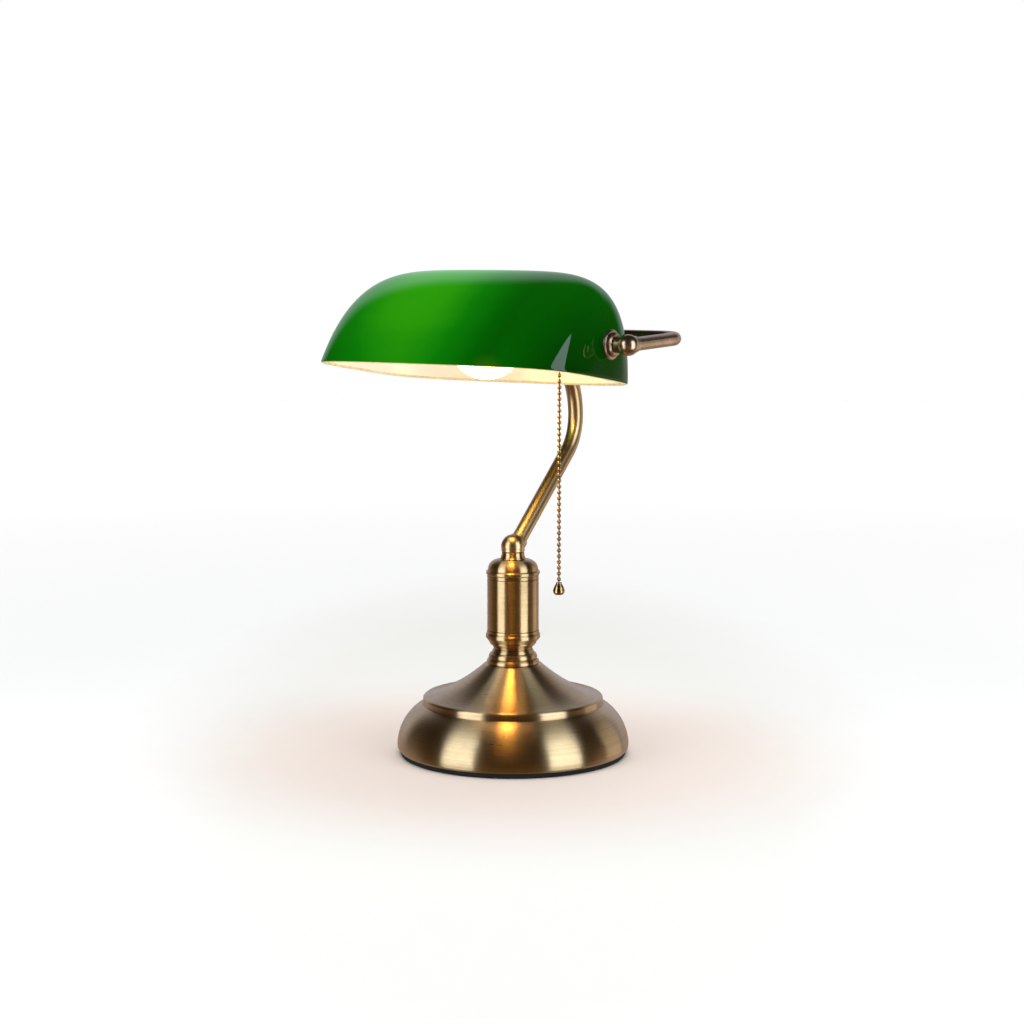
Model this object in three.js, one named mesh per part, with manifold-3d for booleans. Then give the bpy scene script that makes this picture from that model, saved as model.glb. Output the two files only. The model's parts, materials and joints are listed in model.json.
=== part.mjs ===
// Banker desk lamp: a weighted brass base and column, a bent arm that carries a yoke,
// and a glass shade that tilts on the yoke over a horizontal pull-chain lamp holder.
// Millimetres, +Z up. The origin is the centre of the base's underside, +X runs along
// the shade towards the lamp holder, and -Y is the side where the user sits.

import * as THREE from "three";
import { mergeVertices } from "three/addons/utils/BufferGeometryUtils.js";
import Module from "manifold-3d";

const wasm = await Module();
wasm.setup();

// ---- Driving dimensions ----

const GAP = 0.3; // clearance between touching pieces
const SHEET = 1.2; // thickness of the spun brass

const BASE_RADIUS = 90.4;
const BASE_HEIGHT = 70.3;
const RIDGE_RADIUS = 70.2;
const RIDGE_HEIGHT = 45.3;
const FOOT_RADIUS = 88;
const FOOT_HEIGHT = 3.5;
const BUSHING_HEIGHT = 13;
const CORD_HOLE_RADIUS = 6;

const COLUMN_RADIUS = 20;
const COLUMN_BOTTOM = 97.4;
const COLUMN_TOP = 137.4;
const ROD_RADIUS = 5;
const ROD_HOLE = ROD_RADIUS + GAP;

const BALL_HEIGHT = 162.5; // centre of the ball elbow on the column
const BALL_RADIUS = 9.2;
const BALL_SEAT = 158.3; // flat underside of the ball elbow
const BALL_SOCKET_RADIUS = 7.1; // the ball's short collar round the arm
const BALL_SOCKET_REACH = 11.5;
const ARM_RADIUS = 6;
const ARM_WALL = 1;
const ARM_LEAN = THREE.MathUtils.degToRad(48.5); // from the vertical, where it leaves the ball
const ARM_FOOT_HEIGHT = 159.4; // where the arm's line crosses the column's axis
const ARM_REACH = 92.2; // how far back the arm stands
const LOWER_BEND = 39;
const UPPER_BEND = 56;
const HUB_NECK_RADIUS = 7.4;
const HUB_NECK_REACH = 16;

const PIVOT_Y = -46.8;
const PIVOT_Z = 322.5;
const YOKE_HALF_WIDTH = 128.8;
const YOKE_LENGTH = 82.3; // from the pivot line back to the bar
const YOKE_RISE = THREE.MathUtils.degToRad(1.75);
const YOKE_RADIUS = 5;
const YOKE_BEND = 19;
const YOKE_BALL_RADIUS = 7.7;

const SHADE_HALF_LENGTH = 111.6;
const SHADE_HALF_DEPTH = 70;
const SHADE_HEIGHT = 79.3;
const SHADE_LEAN = 0.18; // the crown leans back by this share of the height
const SHADE_TILT = THREE.MathUtils.degToRad(8.5); // front edge up
const GLASS = 3.6;
const PIVOT_ABOVE_RIM = 25.25;

const STEM_RADIUS = 4;
const STEM_BORE = 2.6;
const STEM_HOLE = STEM_RADIUS + GAP;
const STEM_TIP = 125.2; // x of a stem's end inside its ball

const SOCKET_RADIUS = 16.4;
const SOCKET_MOUTH = 42; // x of the open end
const SOCKET_FLOOR = 66; // x of the insulator's floor
const SOCKET_BACK = 83; // x of the insulator's closed end
const BULB_RADIUS = 28.5;
const BULB_CENTRE = 7;

const CHAIN_X = 71;
const GUIDE_RADIUS = 4;
const BEAD_RADIUS = 1.6;
const BEAD_PITCH = 4.3;
const BEAD_COUNT = 35;
const LOWEST_BEAD = 148.55;

// Sides of a turned piece, by its size.
const WIDE = 36;
const MEDIUM = 24;
const SMALL = 16;
const TINY = 12;

// ---- Materials ----

function finish(colour, roughness, metalness) {
  return () => new THREE.MeshStandardMaterial({ color: colour, roughness, metalness });
}

const antiqueBrass = finish(0xa9823f, 0.32, 1);
const darkBrass = finish(0x6f5530, 0.4, 1);
const chainBrass = finish(0x9a6a32, 0.35, 1);
const castIron = finish(0x3a3a3c, 0.7, 0.6);
const steel = finish(0x8d8f92, 0.45, 1);
const blackFoam = finish(0x0c0c0d, 0.9, 0);
const blackRubber = finish(0x141416, 0.8, 0);
const blackPlastic = finish(0x17171a, 0.5, 0);
const greenGlass = finish(0x0b6b1c, 0.08, 0);
const opalGlass = finish(0xfff3d6, 0.4, 0);
const nickel = finish(0xb9b6ae, 0.3, 1);

// ---- Helpers ----

function point2(x, y) {
  return new THREE.Vector2(x, y);
}

function bezier(a, b, c, d, divisions) {
  const ends = [a, b, c, d].map(([x, y]) => point2(x, y));
  return new THREE.CubicBezierCurve(...ends).getPoints(divisions);
}

// A turned solid about +Z. The outline is a list of [radius, height] pairs or points,
// and it either starts and ends on the axis or is closed here.
function turned(outline, sides) {
  const points = outline.map((p) => (p.isVector2 ? p.clone() : point2(...p)));
  if (THREE.ShapeUtils.isClockWise(points)) points.reverse();
  const touchesAxis = points[0].x === 0 || points.at(-1).x === 0;
  if (!touchesAxis) points.push(points[0].clone());
  return new THREE.LatheGeometry(points, sides).rotateX(Math.PI / 2);
}

function turnedAlongX(outline, sides) {
  return turned(outline, sides).rotateY(Math.PI / 2);
}

function ring(inner, outer, low, high) {
  return [[inner, low], [outer, low], [outer, high], [inner, high]];
}

function rodBetween(from, to, radius, sides) {
  const along = to.clone().sub(from);
  const rod = new THREE.CylinderGeometry(radius, radius, along.length(), sides);
  const turn = new THREE.Quaternion().setFromUnitVectors(
    new THREE.Vector3(0, 1, 0),
    along.clone().normalize(),
  );
  rod.applyQuaternion(turn);
  const middle = from.clone().addScaledVector(along, 0.5);
  return rod.translate(middle.x, middle.y, middle.z);
}

function solid(geometry) {
  const bare = geometry.clone();
  bare.deleteAttribute("normal");
  bare.deleteAttribute("uv");
  const merged = mergeVertices(bare, 1e-4);
  return new wasm.Manifold(
    new wasm.Mesh({
      numProp: 3,
      vertProperties: merged.attributes.position.array,
      triVerts: new Uint32Array(merged.index.array),
    }),
  );
}

function geometryOf(made) {
  const mesh = made.getMesh();
  const geometry = new THREE.BufferGeometry();
  geometry.setAttribute("position", new THREE.BufferAttribute(mesh.vertProperties, 3));
  geometry.setIndex(new THREE.BufferAttribute(mesh.triVerts, 1));
  geometry.computeVertexNormals();
  return geometry;
}

function carve(body, joined, removed) {
  let made = solid(body);
  for (const addition of joined) made = made.add(solid(addition));
  for (const cutter of removed) made = made.subtract(solid(cutter));
  return geometryOf(made);
}

function piece(parent, name, geometry, material) {
  const mesh = new THREE.Mesh(geometry, material());
  mesh.name = name;
  parent.add(mesh);
  return mesh;
}

// A path known at its stations only, so that a straight stretch needs just two of them.
class StationPath extends THREE.Curve {
  constructor(stations) {
    super();
    this.stations = stations;
  }

  station(t) {
    return this.stations[Math.round(t * (this.stations.length - 1))];
  }

  getPointAt(t, target = new THREE.Vector3()) {
    return target.copy(this.station(t).point);
  }

  getTangentAt(t, target = new THREE.Vector3()) {
    return target.copy(this.station(t).tangent);
  }
}

// Walks from a start in a direction: each move is a straight length or a bend about an axis.
function bentPath(start, direction, axis, moves) {
  const point = start.clone();
  const tangent = direction.clone();
  const stations = [{ point: point.clone(), tangent: tangent.clone() }];
  for (const move of moves) {
    if (move.length) {
      point.addScaledVector(tangent, move.length);
      stations.push({ point: point.clone(), tangent: tangent.clone() });
      continue;
    }
    const centre = point.clone().addScaledVector(axis.clone().cross(tangent), move.radius);
    for (let i = 0; i < move.steps; i += 1) {
      const turn = move.angle / move.steps;
      point.sub(centre).applyAxisAngle(axis, turn).add(centre);
      tangent.applyAxisAngle(axis, turn);
      stations.push({ point: point.clone(), tangent: tangent.clone() });
    }
  }
  return new StationPath(stations);
}

function tubeAlong(path, outer, inner, sides) {
  const section = new THREE.Shape().absarc(0, 0, outer, 0, 2 * Math.PI);
  section.holes.push(new THREE.Path().absarc(0, 0, inner, 0, 2 * Math.PI));
  return new THREE.ExtrudeGeometry(section, {
    extrudePath: path,
    steps: path.stations.length - 1,
    curveSegments: sides / 2, // a full circle gets two sides for each segment
  });
}

function hexNut(corner, bore, thickness) {
  const outline = new THREE.Shape();
  for (let i = 0; i < 6; i += 1) {
    const angle = (i * Math.PI) / 3;
    outline[i ? "lineTo" : "moveTo"](corner * Math.cos(angle), corner * Math.sin(angle));
  }
  outline.closePath();
  outline.holes.push(new THREE.Path().absarc(0, 0, bore, 0, 2 * Math.PI));
  return new THREE.ExtrudeGeometry(outline, {
    depth: thickness,
    bevelEnabled: false,
    curveSegments: TINY / 2,
  });
}

// ---- Base ----

function baseCover() {
  const skirt = bezier([BASE_RADIUS, 8], [BASE_RADIUS, 14], [86.7, 31.9], [70, 39.6], 7);
  const flare = bezier([67.9, 45.5], [55.5, 47.3], [38.5, 56.3], [22.5, BASE_HEIGHT], 6);
  const outside = [
    point2(88.7, FOOT_HEIGHT + GAP),
    point2(90.1, 5.4),
    ...skirt,
    point2(RIDGE_RADIUS, RIDGE_HEIGHT - 2),
    point2(RIDGE_RADIUS - 0.7, RIDGE_HEIGHT - 0.5),
    ...flare,
  ];
  const innerFlare = bezier([66.5, 44.4], [55, 46], [38, 55], [22, 69.1], 3).reverse();
  const innerSkirt = bezier([89.1, 8], [89.1, 13.7], [85.4, 30.7], [68.7, 38.5], 3).reverse();
  const inside = [
    point2(ROD_HOLE, BASE_HEIGHT),
    point2(ROD_HOLE, 69.1),
    ...innerFlare,
    point2(68.7, 43.1),
    ...innerSkirt,
    point2(87.5, FOOT_HEIGHT + GAP),
  ];
  const cordHole = rodBetween(
    new THREE.Vector3(0, 80, BUSHING_HEIGHT),
    new THREE.Vector3(0, 100, BUSHING_HEIGHT),
    CORD_HOLE_RADIUS,
    SMALL,
  );
  return carve(turned([...outside, ...inside], WIDE), [], [cordHole]);
}

function footPad() {
  return [
    [0, 0], [FOOT_RADIUS - 0.8, 0], [FOOT_RADIUS, 0.8], [FOOT_RADIUS, FOOT_HEIGHT],
    [0, FOOT_HEIGHT],
  ];
}

function basePlate() {
  const low = FOOT_HEIGHT + 2 * GAP;
  return turned(
    [[86.3, low], [86.3, low + 1.5], [18.5, low + 1.5], [15.5, 12.6],
      [ROD_HOLE, 12.6], [ROD_HOLE, 11.1], [14.2, 11.1], [17.2, low]],
    MEDIUM,
  );
}

function cordBushing() {
  const outline = [
    [3.4, 84], [5.6, 84], [5.6, 90.7], [7.2, 90.8], [7.2, 92], [6.4, 92.8], [4.2, 92.8],
    [3.4, 92],
  ];
  return turned(outline, TINY).rotateX(-Math.PI / 2);
}

function makeBase() {
  const base = new THREE.Group();
  piece(base, "foot_pad", turned(footPad(), WIDE), blackFoam);
  piece(base, "base_plate", basePlate(), steel);
  piece(base, "base_weight", turned(ring(24, 76, 5.9, 15.4), MEDIUM), castIron);
  piece(base, "base_cover", baseCover(), antiqueBrass);
  piece(base, "cord_bushing", cordBushing(), blackPlastic).position.z = BUSHING_HEIGHT;
  piece(base, "rod_washer", turned(ring(ROD_HOLE, 10, 9.6, 10.8), SMALL), steel);
  piece(base, "rod_nut", hexNut(9.5, ROD_HOLE, 5), steel).position.z = 4.3;
  return base;
}

// ---- Column ----

function neckFoot() {
  return [[ROD_HOLE, 70.6], [19.6, 70.6], [20.3, 71.4], [20.3, 73.2], [19.4, 74.5], [ROD_HOLE, 74.5]];
}

function neckSpool() {
  return [
    [ROD_HOLE, 74.8], [18.4, 74.8], [19, 76], [18.3, 78.4], [16.6, 79.5],
    [16, 81], [15, 82.6], [15.4, 84], [16.2, 84.8], [ROD_HOLE, 84.8],
  ];
}

function columnCup() {
  return [
    [ROD_HOLE, 85.1], [16.6, 85.1], [18.2, 87], [18.3, 88], [19.8, 89.6], [21.2, 91.4],
    [21.2, 93.6], [20.4, 95], [20.2, 97.1], [17, 97.1], [15, 88.5], [ROD_HOLE, 88.5],
  ];
}

function columnCap() {
  return [
    [18.6, 137.7], [20.3, 137.7], [20.3, 141], [20.8, 142], [20.6, 143.6], [19.7, 146.3],
    [18, 149], [15.4, 151.2], [12, 152.4], [ROD_HOLE, 152.4], [ROD_HOLE, 150.4],
    [13.6, 149.6], [16.6, 147], [18.4, 143],
  ];
}

function armCollar() {
  return [[ROD_HOLE, 152.7], [10.3, 152.7], [9.6, 154.2], [9.1, 156], [9, 158], [ROD_HOLE, 158]];
}

function makeColumn() {
  const column = new THREE.Group();
  piece(column, "centre_rod", turned(ring(3.4, ROD_RADIUS, 4.3, 160), TINY), steel);
  piece(column, "neck_foot", turned(neckFoot(), MEDIUM), antiqueBrass);
  piece(column, "neck_spool", turned(neckSpool(), MEDIUM), antiqueBrass);
  piece(column, "column_cup", turned(columnCup(), MEDIUM), antiqueBrass);
  piece(
    column,
    "column_tube",
    turned(ring(COLUMN_RADIUS - SHEET, COLUMN_RADIUS, COLUMN_BOTTOM, COLUMN_TOP), MEDIUM),
    antiqueBrass,
  );
  piece(column, "column_cap", turned(columnCap(), MEDIUM), antiqueBrass);
  piece(column, "arm_collar", turned(armCollar(), MEDIUM), antiqueBrass);
  return column;
}

// ---- Arm ----

const ARM_DIRECTION = new THREE.Vector3(0, Math.sin(ARM_LEAN), Math.cos(ARM_LEAN));
const X_AXIS = new THREE.Vector3(1, 0, 0);
const HUB = new THREE.Vector3(
  0,
  PIVOT_Y + YOKE_LENGTH * Math.cos(YOKE_RISE),
  PIVOT_Z + YOKE_LENGTH * Math.sin(YOKE_RISE),
);

function onArmFoot(distance) {
  return new THREE.Vector3(0, 0, ARM_FOOT_HEIGHT).addScaledVector(ARM_DIRECTION, distance);
}

// The lower bend turns the leaning tube upright, and the upper one turns it towards the hub.
function armRoute() {
  const cornerDistance = ARM_REACH / Math.sin(ARM_LEAN);
  const bendLength = LOWER_BEND * Math.tan(ARM_LEAN / 2);
  const bendTop = onArmFoot(cornerDistance).z + bendLength;
  const toHub = [HUB.y - (ARM_REACH - UPPER_BEND), HUB.z - bendTop];
  const hubDistance = Math.hypot(...toHub);
  const upperAngle = Math.atan2(toHub[1], toHub[0]) - Math.acos(UPPER_BEND / hubDistance);
  const lastStretch = Math.sqrt(hubDistance ** 2 - UPPER_BEND ** 2);
  return { footLength: cornerDistance - bendLength, upperAngle, lastStretch };
}

const ARM_START = 7; // distance from the column's axis to the tube's end inside the ball
const ARM_END = 7.5; // distance from the hub's centre to the tube's other end

function armTube() {
  const { footLength, upperAngle, lastStretch } = armRoute();
  const path = bentPath(onArmFoot(ARM_START), ARM_DIRECTION, X_AXIS, [
    { length: footLength - ARM_START },
    { radius: LOWER_BEND, angle: ARM_LEAN, steps: 6 },
    { radius: UPPER_BEND, angle: upperAngle, steps: 8 },
    { length: lastStretch - ARM_END },
  ]);
  return tubeAlong(path, ARM_RADIUS, ARM_RADIUS - ARM_WALL, TINY);
}

function armElbow() {
  const ball = new THREE.SphereGeometry(BALL_RADIUS, SMALL, 10)
    .rotateX(Math.PI / 2)
    .translate(0, 0, BALL_HEIGHT);
  const skirt = turned([[0, BALL_SEAT], [9, BALL_SEAT], [9, BALL_HEIGHT], [0, BALL_HEIGHT]], SMALL);
  const boss = rodBetween(onArmFoot(4), onArmFoot(BALL_SOCKET_REACH), BALL_SOCKET_RADIUS, SMALL);
  const underSeat = turned([[0, 140], [20, 140], [20, BALL_SEAT], [0, BALL_SEAT]], TINY);
  const rodHole = turned([[0, 150], [ROD_HOLE, 150], [ROD_HOLE, 161], [0, 161]], TINY);
  const armHole = rodBetween(onArmFoot(ARM_START - GAP), onArmFoot(30), ARM_RADIUS + GAP, SMALL);
  const wireWay = rodBetween(onArmFoot(0), onArmFoot(ARM_START), 3.4, TINY);
  return carve(ball, [skirt, boss], [underSeat, rodHole, armHole, wireWay]);
}

function yokeHub() {
  const { upperAngle } = armRoute();
  const backwards = new THREE.Vector3(0, Math.sin(upperAngle), -Math.cos(upperAngle));
  const outward = (distance) => HUB.clone().addScaledVector(backwards, distance);
  const barrel = turnedAlongX(
    [[0, -11.5], [6.8, -11.5], [7.6, -9.5], [8.2, 0], [7.6, 9.5], [6.8, 11.5], [0, 11.5]],
    SMALL,
  ).translate(HUB.x, HUB.y, HUB.z);
  const neck = rodBetween(HUB, outward(HUB_NECK_REACH), HUB_NECK_RADIUS, SMALL);
  const barHole = rodBetween(
    HUB.clone().setX(-20),
    HUB.clone().setX(20),
    YOKE_RADIUS + GAP,
    TINY,
  );
  const armHole = rodBetween(outward(ARM_END - GAP), outward(20), ARM_RADIUS + GAP, SMALL);
  return carve(barrel, [neck], [barHole, armHole]);
}

function makeArm() {
  const arm = new THREE.Group();
  piece(arm, "arm_elbow", armElbow(), antiqueBrass);
  piece(arm, "arm_tube", armTube(), antiqueBrass);
  piece(arm, "yoke_hub", yokeHub(), antiqueBrass);
  return arm;
}

// ---- Yoke and pivots ----

const LEG_START = 4; // distance from a ball's centre to the tube's end inside it

function yokeTube() {
  const legLength = YOKE_LENGTH - YOKE_BEND - LEG_START;
  const path = bentPath(
    new THREE.Vector3(YOKE_HALF_WIDTH, LEG_START, 0),
    new THREE.Vector3(0, 1, 0),
    new THREE.Vector3(0, 0, 1),
    [
      { length: legLength },
      { radius: YOKE_BEND, angle: Math.PI / 2, steps: 6 },
      { length: 2 * (YOKE_HALF_WIDTH - YOKE_BEND) },
      { radius: YOKE_BEND, angle: Math.PI / 2, steps: 6 },
      { length: legLength },
    ],
  );
  return tubeAlong(path, YOKE_RADIUS, YOKE_RADIUS - 1, TINY);
}

function yokeElbow() {
  const ball = new THREE.SphereGeometry(YOKE_BALL_RADIUS, TINY, 8);
  const neck = turnedAlongX([[0, -9.4], [5.9, -9.4], [5.9, 0], [0, 0]], TINY);
  const legEnd = new THREE.Vector3(0, 9, 0);
  const boss = rodBetween(new THREE.Vector3(0, 2, 0), legEnd, 6.1, TINY);
  const centre = new THREE.Vector3(0, 0, 0);
  const legHole = rodBetween(
    new THREE.Vector3(0, LEG_START - GAP, 0),
    new THREE.Vector3(0, 20, 0),
    YOKE_RADIUS + GAP,
    TINY,
  );
  const wireWay = rodBetween(centre, legEnd, STEM_BORE, TINY);
  const stemHole = turnedAlongX([[0, -20], [STEM_HOLE, -20], [STEM_HOLE, -3], [0, -3]], TINY);
  const stemWay = turnedAlongX([[0, -20], [STEM_BORE, -20], [STEM_BORE, 1], [0, 1]], TINY);
  return carve(ball, [neck, boss], [legHole, wireWay, stemHole, stemWay])
    .translate(YOKE_HALF_WIDTH, 0, 0);
}

function outerFlange() {
  return [
    [STEM_HOLE, 113.4], [10.4, 113.4], [11, 114], [11, 115.4], [10.2, 116.2],
    [8.6, 116.4], [8.8, 118], [7.6, 119.1], [STEM_HOLE, 119.1],
  ];
}

// One side's fixed pivot pieces; the left side is the right one mirrored.
function makePivotSide(name, stemInnerEnd) {
  const side = new THREE.Group();
  const stem = turnedAlongX(ring(STEM_BORE, STEM_RADIUS, stemInnerEnd, STEM_TIP), TINY);
  piece(side, `yoke_elbow_${name}`, yokeElbow(), darkBrass);
  piece(side, `pivot_stem_${name}`, stem, steel);
  piece(side, `outer_flange_${name}`, turnedAlongX(outerFlange(), SMALL), darkBrass);
  piece(side, `inner_washer_${name}`, turnedAlongX(ring(STEM_HOLE, 9, 102.2, 103.3), SMALL), darkBrass);
  const nut = hexNut(8, STEM_HOLE, 3.8).rotateY(Math.PI / 2);
  piece(side, `lock_nut_${name}`, nut, darkBrass).position.x = 98.1;
  return side;
}

function makeYoke() {
  const yoke = new THREE.Group();
  yoke.position.set(0, PIVOT_Y, PIVOT_Z);
  yoke.rotation.x = YOKE_RISE;
  piece(yoke, "yoke_tube", yokeTube(), darkBrass);
  yoke.add(makePivotSide("right", 94.5));
  const left = makePivotSide("left", 96.5);
  left.scale.x = -1;
  yoke.add(left);
  return yoke;
}

// ---- Shade ----

// Half the length and half the depth of the glass at a share of its height, for a skin
// that lies a distance inside the outer surface.
function shadeSection(share, inset) {
  const halfLength = (SHADE_HALF_LENGTH - inset) * (1 - 0.035 * share);
  const halfDepth = (SHADE_HALF_DEPTH - inset) * (1 - 0.018 * share);
  return {
    length: halfLength * (1 - share ** 4.83) ** (1 / 4.83),
    depth: halfDepth * (1 - share ** 2.1) ** (1 / 2.1),
    squareness: 4.26 - 2.23 * share,
  };
}

function signedPower(value, power) {
  return Math.sign(value) * Math.abs(value) ** power;
}

function shadePoint(share, angle, inset) {
  const { length, depth, squareness } = shadeSection(share, inset);
  const height = share * (SHADE_HEIGHT - inset);
  return new THREE.Vector3(
    length * signedPower(Math.cos(angle), 2 / squareness),
    depth * signedPower(Math.sin(angle), 2 / squareness) + SHADE_LEAN * height,
    height,
  );
}

// A lathe gives the closed double skin, and each of its points is then moved onto the
// glass: up the outer skin from the rim to the crown, after coming down the inner one.
function shadeGlass() {
  const rows = 9;
  const skins = [];
  for (let i = rows; i >= 0; i -= 1) skins.push({ share: heightShare(i / rows), inset: GLASS });
  for (let i = 0; i <= rows; i += 1) skins.push({ share: heightShare(i / rows), inset: 0 });
  const outline = skins.map(({ share, inset }) => {
    const radius = share === 1 ? 0 : 1 - share / 2 - inset / 50;
    return point2(radius, share * (1 - inset / 50));
  });
  const dome = new THREE.LatheGeometry(outline, 40);
  const position = dome.getAttribute("position");
  for (let i = 0; i < position.count; i += 1) {
    const { share, inset } = skins[i % skins.length];
    const angle = -Math.atan2(position.getZ(i), position.getX(i));
    const place = shadePoint(share, share === 1 ? 0 : angle, inset);
    position.setXYZ(i, place.x, place.y, place.z);
  }
  dome.translate(0, -SHADE_LEAN * PIVOT_ABOVE_RIM, -PIVOT_ABOVE_RIM);
  const pivotHole = rodBetween(
    new THREE.Vector3(-130, 0, 0),
    new THREE.Vector3(130, 0, 0),
    STEM_RADIUS + 1,
    SMALL,
  );
  return carve(dome, [], [pivotHole]);
}

// Rows stand closer together towards the crown, where the glass curves most.
function heightShare(step) {
  return Math.sin((step * Math.PI) / 2) ** 0.8;
}

function makeShade() {
  const shade = new THREE.Group();
  shade.position.set(0, PIVOT_Y, PIVOT_Z);
  shade.rotation.x = -SHADE_TILT;
  piece(shade, "shade_glass", shadeGlass(), greenGlass);
  for (const [name, direction] of [["right", 1], ["left", -1]]) {
    const outer = turnedAlongX(ring(STEM_HOLE + 0.1, 9.4, 111.6, 113.1), SMALL);
    const inner = turnedAlongX(ring(STEM_HOLE + 0.1, 8.4, 103.6, 105), SMALL);
    const side = new THREE.Group();
    side.scale.x = direction;
    piece(side, `outer_rubber_${name}`, outer, blackRubber);
    piece(side, `inner_rubber_${name}`, inner, blackRubber);
    shade.add(side);
  }
  return shade;
}

// ---- Lamp holder and bulb ----

function socketCap() {
  return [
    [STEM_HOLE, 97.6], [6.5, 97.6], [9.6, 96.2], [13.8, 92.6], [17.7, 88.6], [17.7, 83.4],
    [16.8, 83.4], [16.8, 88], [13, 91.6], [9, 94.8], [STEM_HOLE, 95.4],
  ];
}

function socketShell() {
  const radius = SOCKET_RADIUS;
  const shell = turnedAlongX(
    [[radius - 0.8, SOCKET_MOUTH], [radius + 0.5, SOCKET_MOUTH], [radius + 0.5, 43.5],
      [radius, 44.2], [radius, 86.5], [radius - 0.8, 86.5]],
    20,
  );
  const guideHole = rodBetween(
    new THREE.Vector3(CHAIN_X, 0, -30),
    new THREE.Vector3(CHAIN_X, 0, -10),
    GUIDE_RADIUS + GAP,
    SMALL,
  );
  return carve(shell, [], [guideHole]);
}

function socketInsulator() {
  const outline = [
    [0, SOCKET_FLOOR], [14.7, SOCKET_FLOOR], [14.7, 43], [15.3, 43], [15.3, SOCKET_BACK],
    [0, SOCKET_BACK],
  ];
  const body = turnedAlongX(outline, 20);
  const guidePocket = rodBetween(
    new THREE.Vector3(CHAIN_X, 0, -30),
    new THREE.Vector3(CHAIN_X, 0, -12.5),
    GUIDE_RADIUS + GAP,
    SMALL,
  );
  const linkWay = rodBetween(
    new THREE.Vector3(CHAIN_X, 0, -20),
    new THREE.Vector3(CHAIN_X, 0, -3),
    2.3,
    TINY,
  );
  return carve(body, [], [guidePocket, linkWay]);
}

// A threaded sleeve or cap, with one round ridge for each turn of the thread.
function threadOutline(radius, depth, start, pitch, turns) {
  const outline = [];
  for (let i = 0; i < turns; i += 1) {
    outline.push([radius - depth, start + i * pitch]);
    outline.push([radius, start + (i + 0.5) * pitch]);
  }
  outline.push([radius - depth, start + turns * pitch]);
  return outline;
}

function screwShell() {
  const outside = threadOutline(14.4, 0.4, 45, 4.5, 4);
  return [...outside, [13.6, 63], [13.6, 45]];
}

function bulbCap() {
  const outside = threadOutline(13.2, 0.7, 42.5, 3.6, 4);
  return [
    [11.9, 40.5], [12.6, 40.5], ...outside, [9, 62.2], [5.6, 63.2], [0, 63.2],
    [0, 62], [5.4, 61.6], [11.9, 58],
  ].reverse();
}

function bulbGlass() {
  const skin = (inset, divisions) => {
    const radius = BULB_RADIUS - inset;
    const dome = [];
    for (let i = 0; i <= divisions; i += 1) {
      const angle = (i / divisions) * THREE.MathUtils.degToRad(115);
      dome.push([radius * Math.sin(angle), BULB_CENTRE - radius * Math.cos(angle)]);
    }
    dome[0][0] = 0;
    return [...dome, [18.6 - inset, 27], [13.6 - inset, 35], [11.2 - inset, 40]];
  };
  return [...skin(0, 6), [11.2, 50], [10.2, 50], ...skin(1, 4).reverse()];
}

function makeLampHolder() {
  const holder = new THREE.Group();
  holder.position.set(0, PIVOT_Y, PIVOT_Z);
  piece(holder, "socket_cap", turnedAlongX(socketCap(), 20), antiqueBrass);
  piece(holder, "socket_shell", socketShell(), antiqueBrass);
  piece(holder, "socket_insulator", socketInsulator(), blackPlastic);
  piece(holder, "screw_shell", turnedAlongX(screwShell(), TINY), nickel);
  const contact = turnedAlongX([[0, 63.9], [3, 64.2], [4, 65.7], [0, 65.7]], TINY);
  piece(holder, "centre_contact", contact, chainBrass);
  piece(holder, "bulb_cap", turnedAlongX(bulbCap(), TINY), nickel);
  piece(holder, "bulb_glass", turnedAlongX(bulbGlass(), 20), opalGlass);
  return holder;
}

// ---- Pull chain ----

const CHAIN_HEAD = 297; // height where the long chain hangs from its top link
const GUIDE_MOUTH = 301.5;

function chainGuide() {
  return [
    [2.4, GUIDE_MOUTH], [4.6, GUIDE_MOUTH], [4.2, 303.4], [GUIDE_RADIUS, 303.8], [5.2, 304],
    [5.2, 305.2], [GUIDE_RADIUS, 305.4], [GUIDE_RADIUS, 309.4], [2.4, 309.4],
  ];
}

function switchLink() {
  return [
    [0, 302.4], [0.9, 302.4], [0.9, 313.4], [1.9, 314], [1.9, 316], [0, 316],
  ];
}

function topLink() {
  const bead = LOWEST_BEAD + BEAD_COUNT * BEAD_PITCH;
  return [
    [0, CHAIN_HEAD + GAP], [0.6, CHAIN_HEAD + GAP], [BEAD_RADIUS, bead - 0.7],
    [BEAD_RADIUS, bead + 0.7], [0.6, bead + 1.5], [0.6, 302.1], [0, 302.1],
  ];
}

function pullChain() {
  const outline = [[0, LOWEST_BEAD - BEAD_PITCH / 2 + GAP]];
  outline.push([0.5, LOWEST_BEAD - BEAD_PITCH / 2 + GAP]);
  for (let i = 0; i < BEAD_COUNT; i += 1) {
    const bead = LOWEST_BEAD + i * BEAD_PITCH;
    outline.push([BEAD_RADIUS, bead - 0.7]);
    outline.push([BEAD_RADIUS, bead + 0.7]);
    outline.push([0.5, bead + BEAD_PITCH / 2]);
  }
  outline.push([0, CHAIN_HEAD - 0.1]);
  return outline;
}

function chainBell() {
  return [
    [0, 137.1], [2.6, 137.1], [3.9, 138], [4.45, 139.6], [4.1, 141.4], [3, 143.8],
    [2.2, 145.6], [1.2, 146.4], [0, 146.4],
  ];
}

function makeChain() {
  const chain = new THREE.Group();
  chain.position.set(CHAIN_X, PIVOT_Y, 0);
  piece(chain, "chain_guide", turned(chainGuide(), TINY), antiqueBrass);
  piece(chain, "switch_link", turned(switchLink(), 8), chainBrass);
  piece(chain, "chain_top_link", turned(topLink(), 6), chainBrass);
  piece(chain, "pull_chain", turned(pullChain(), 6), chainBrass);
  piece(chain, "chain_bell", turned(chainBell(), TINY), chainBrass);
  return chain;
}

// ---- Lamp ----

const lamp = new THREE.Group();
lamp.add(makeBase(), makeColumn(), makeArm(), makeYoke(), makeShade(), makeLampHolder(), makeChain());

export default lamp;
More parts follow.
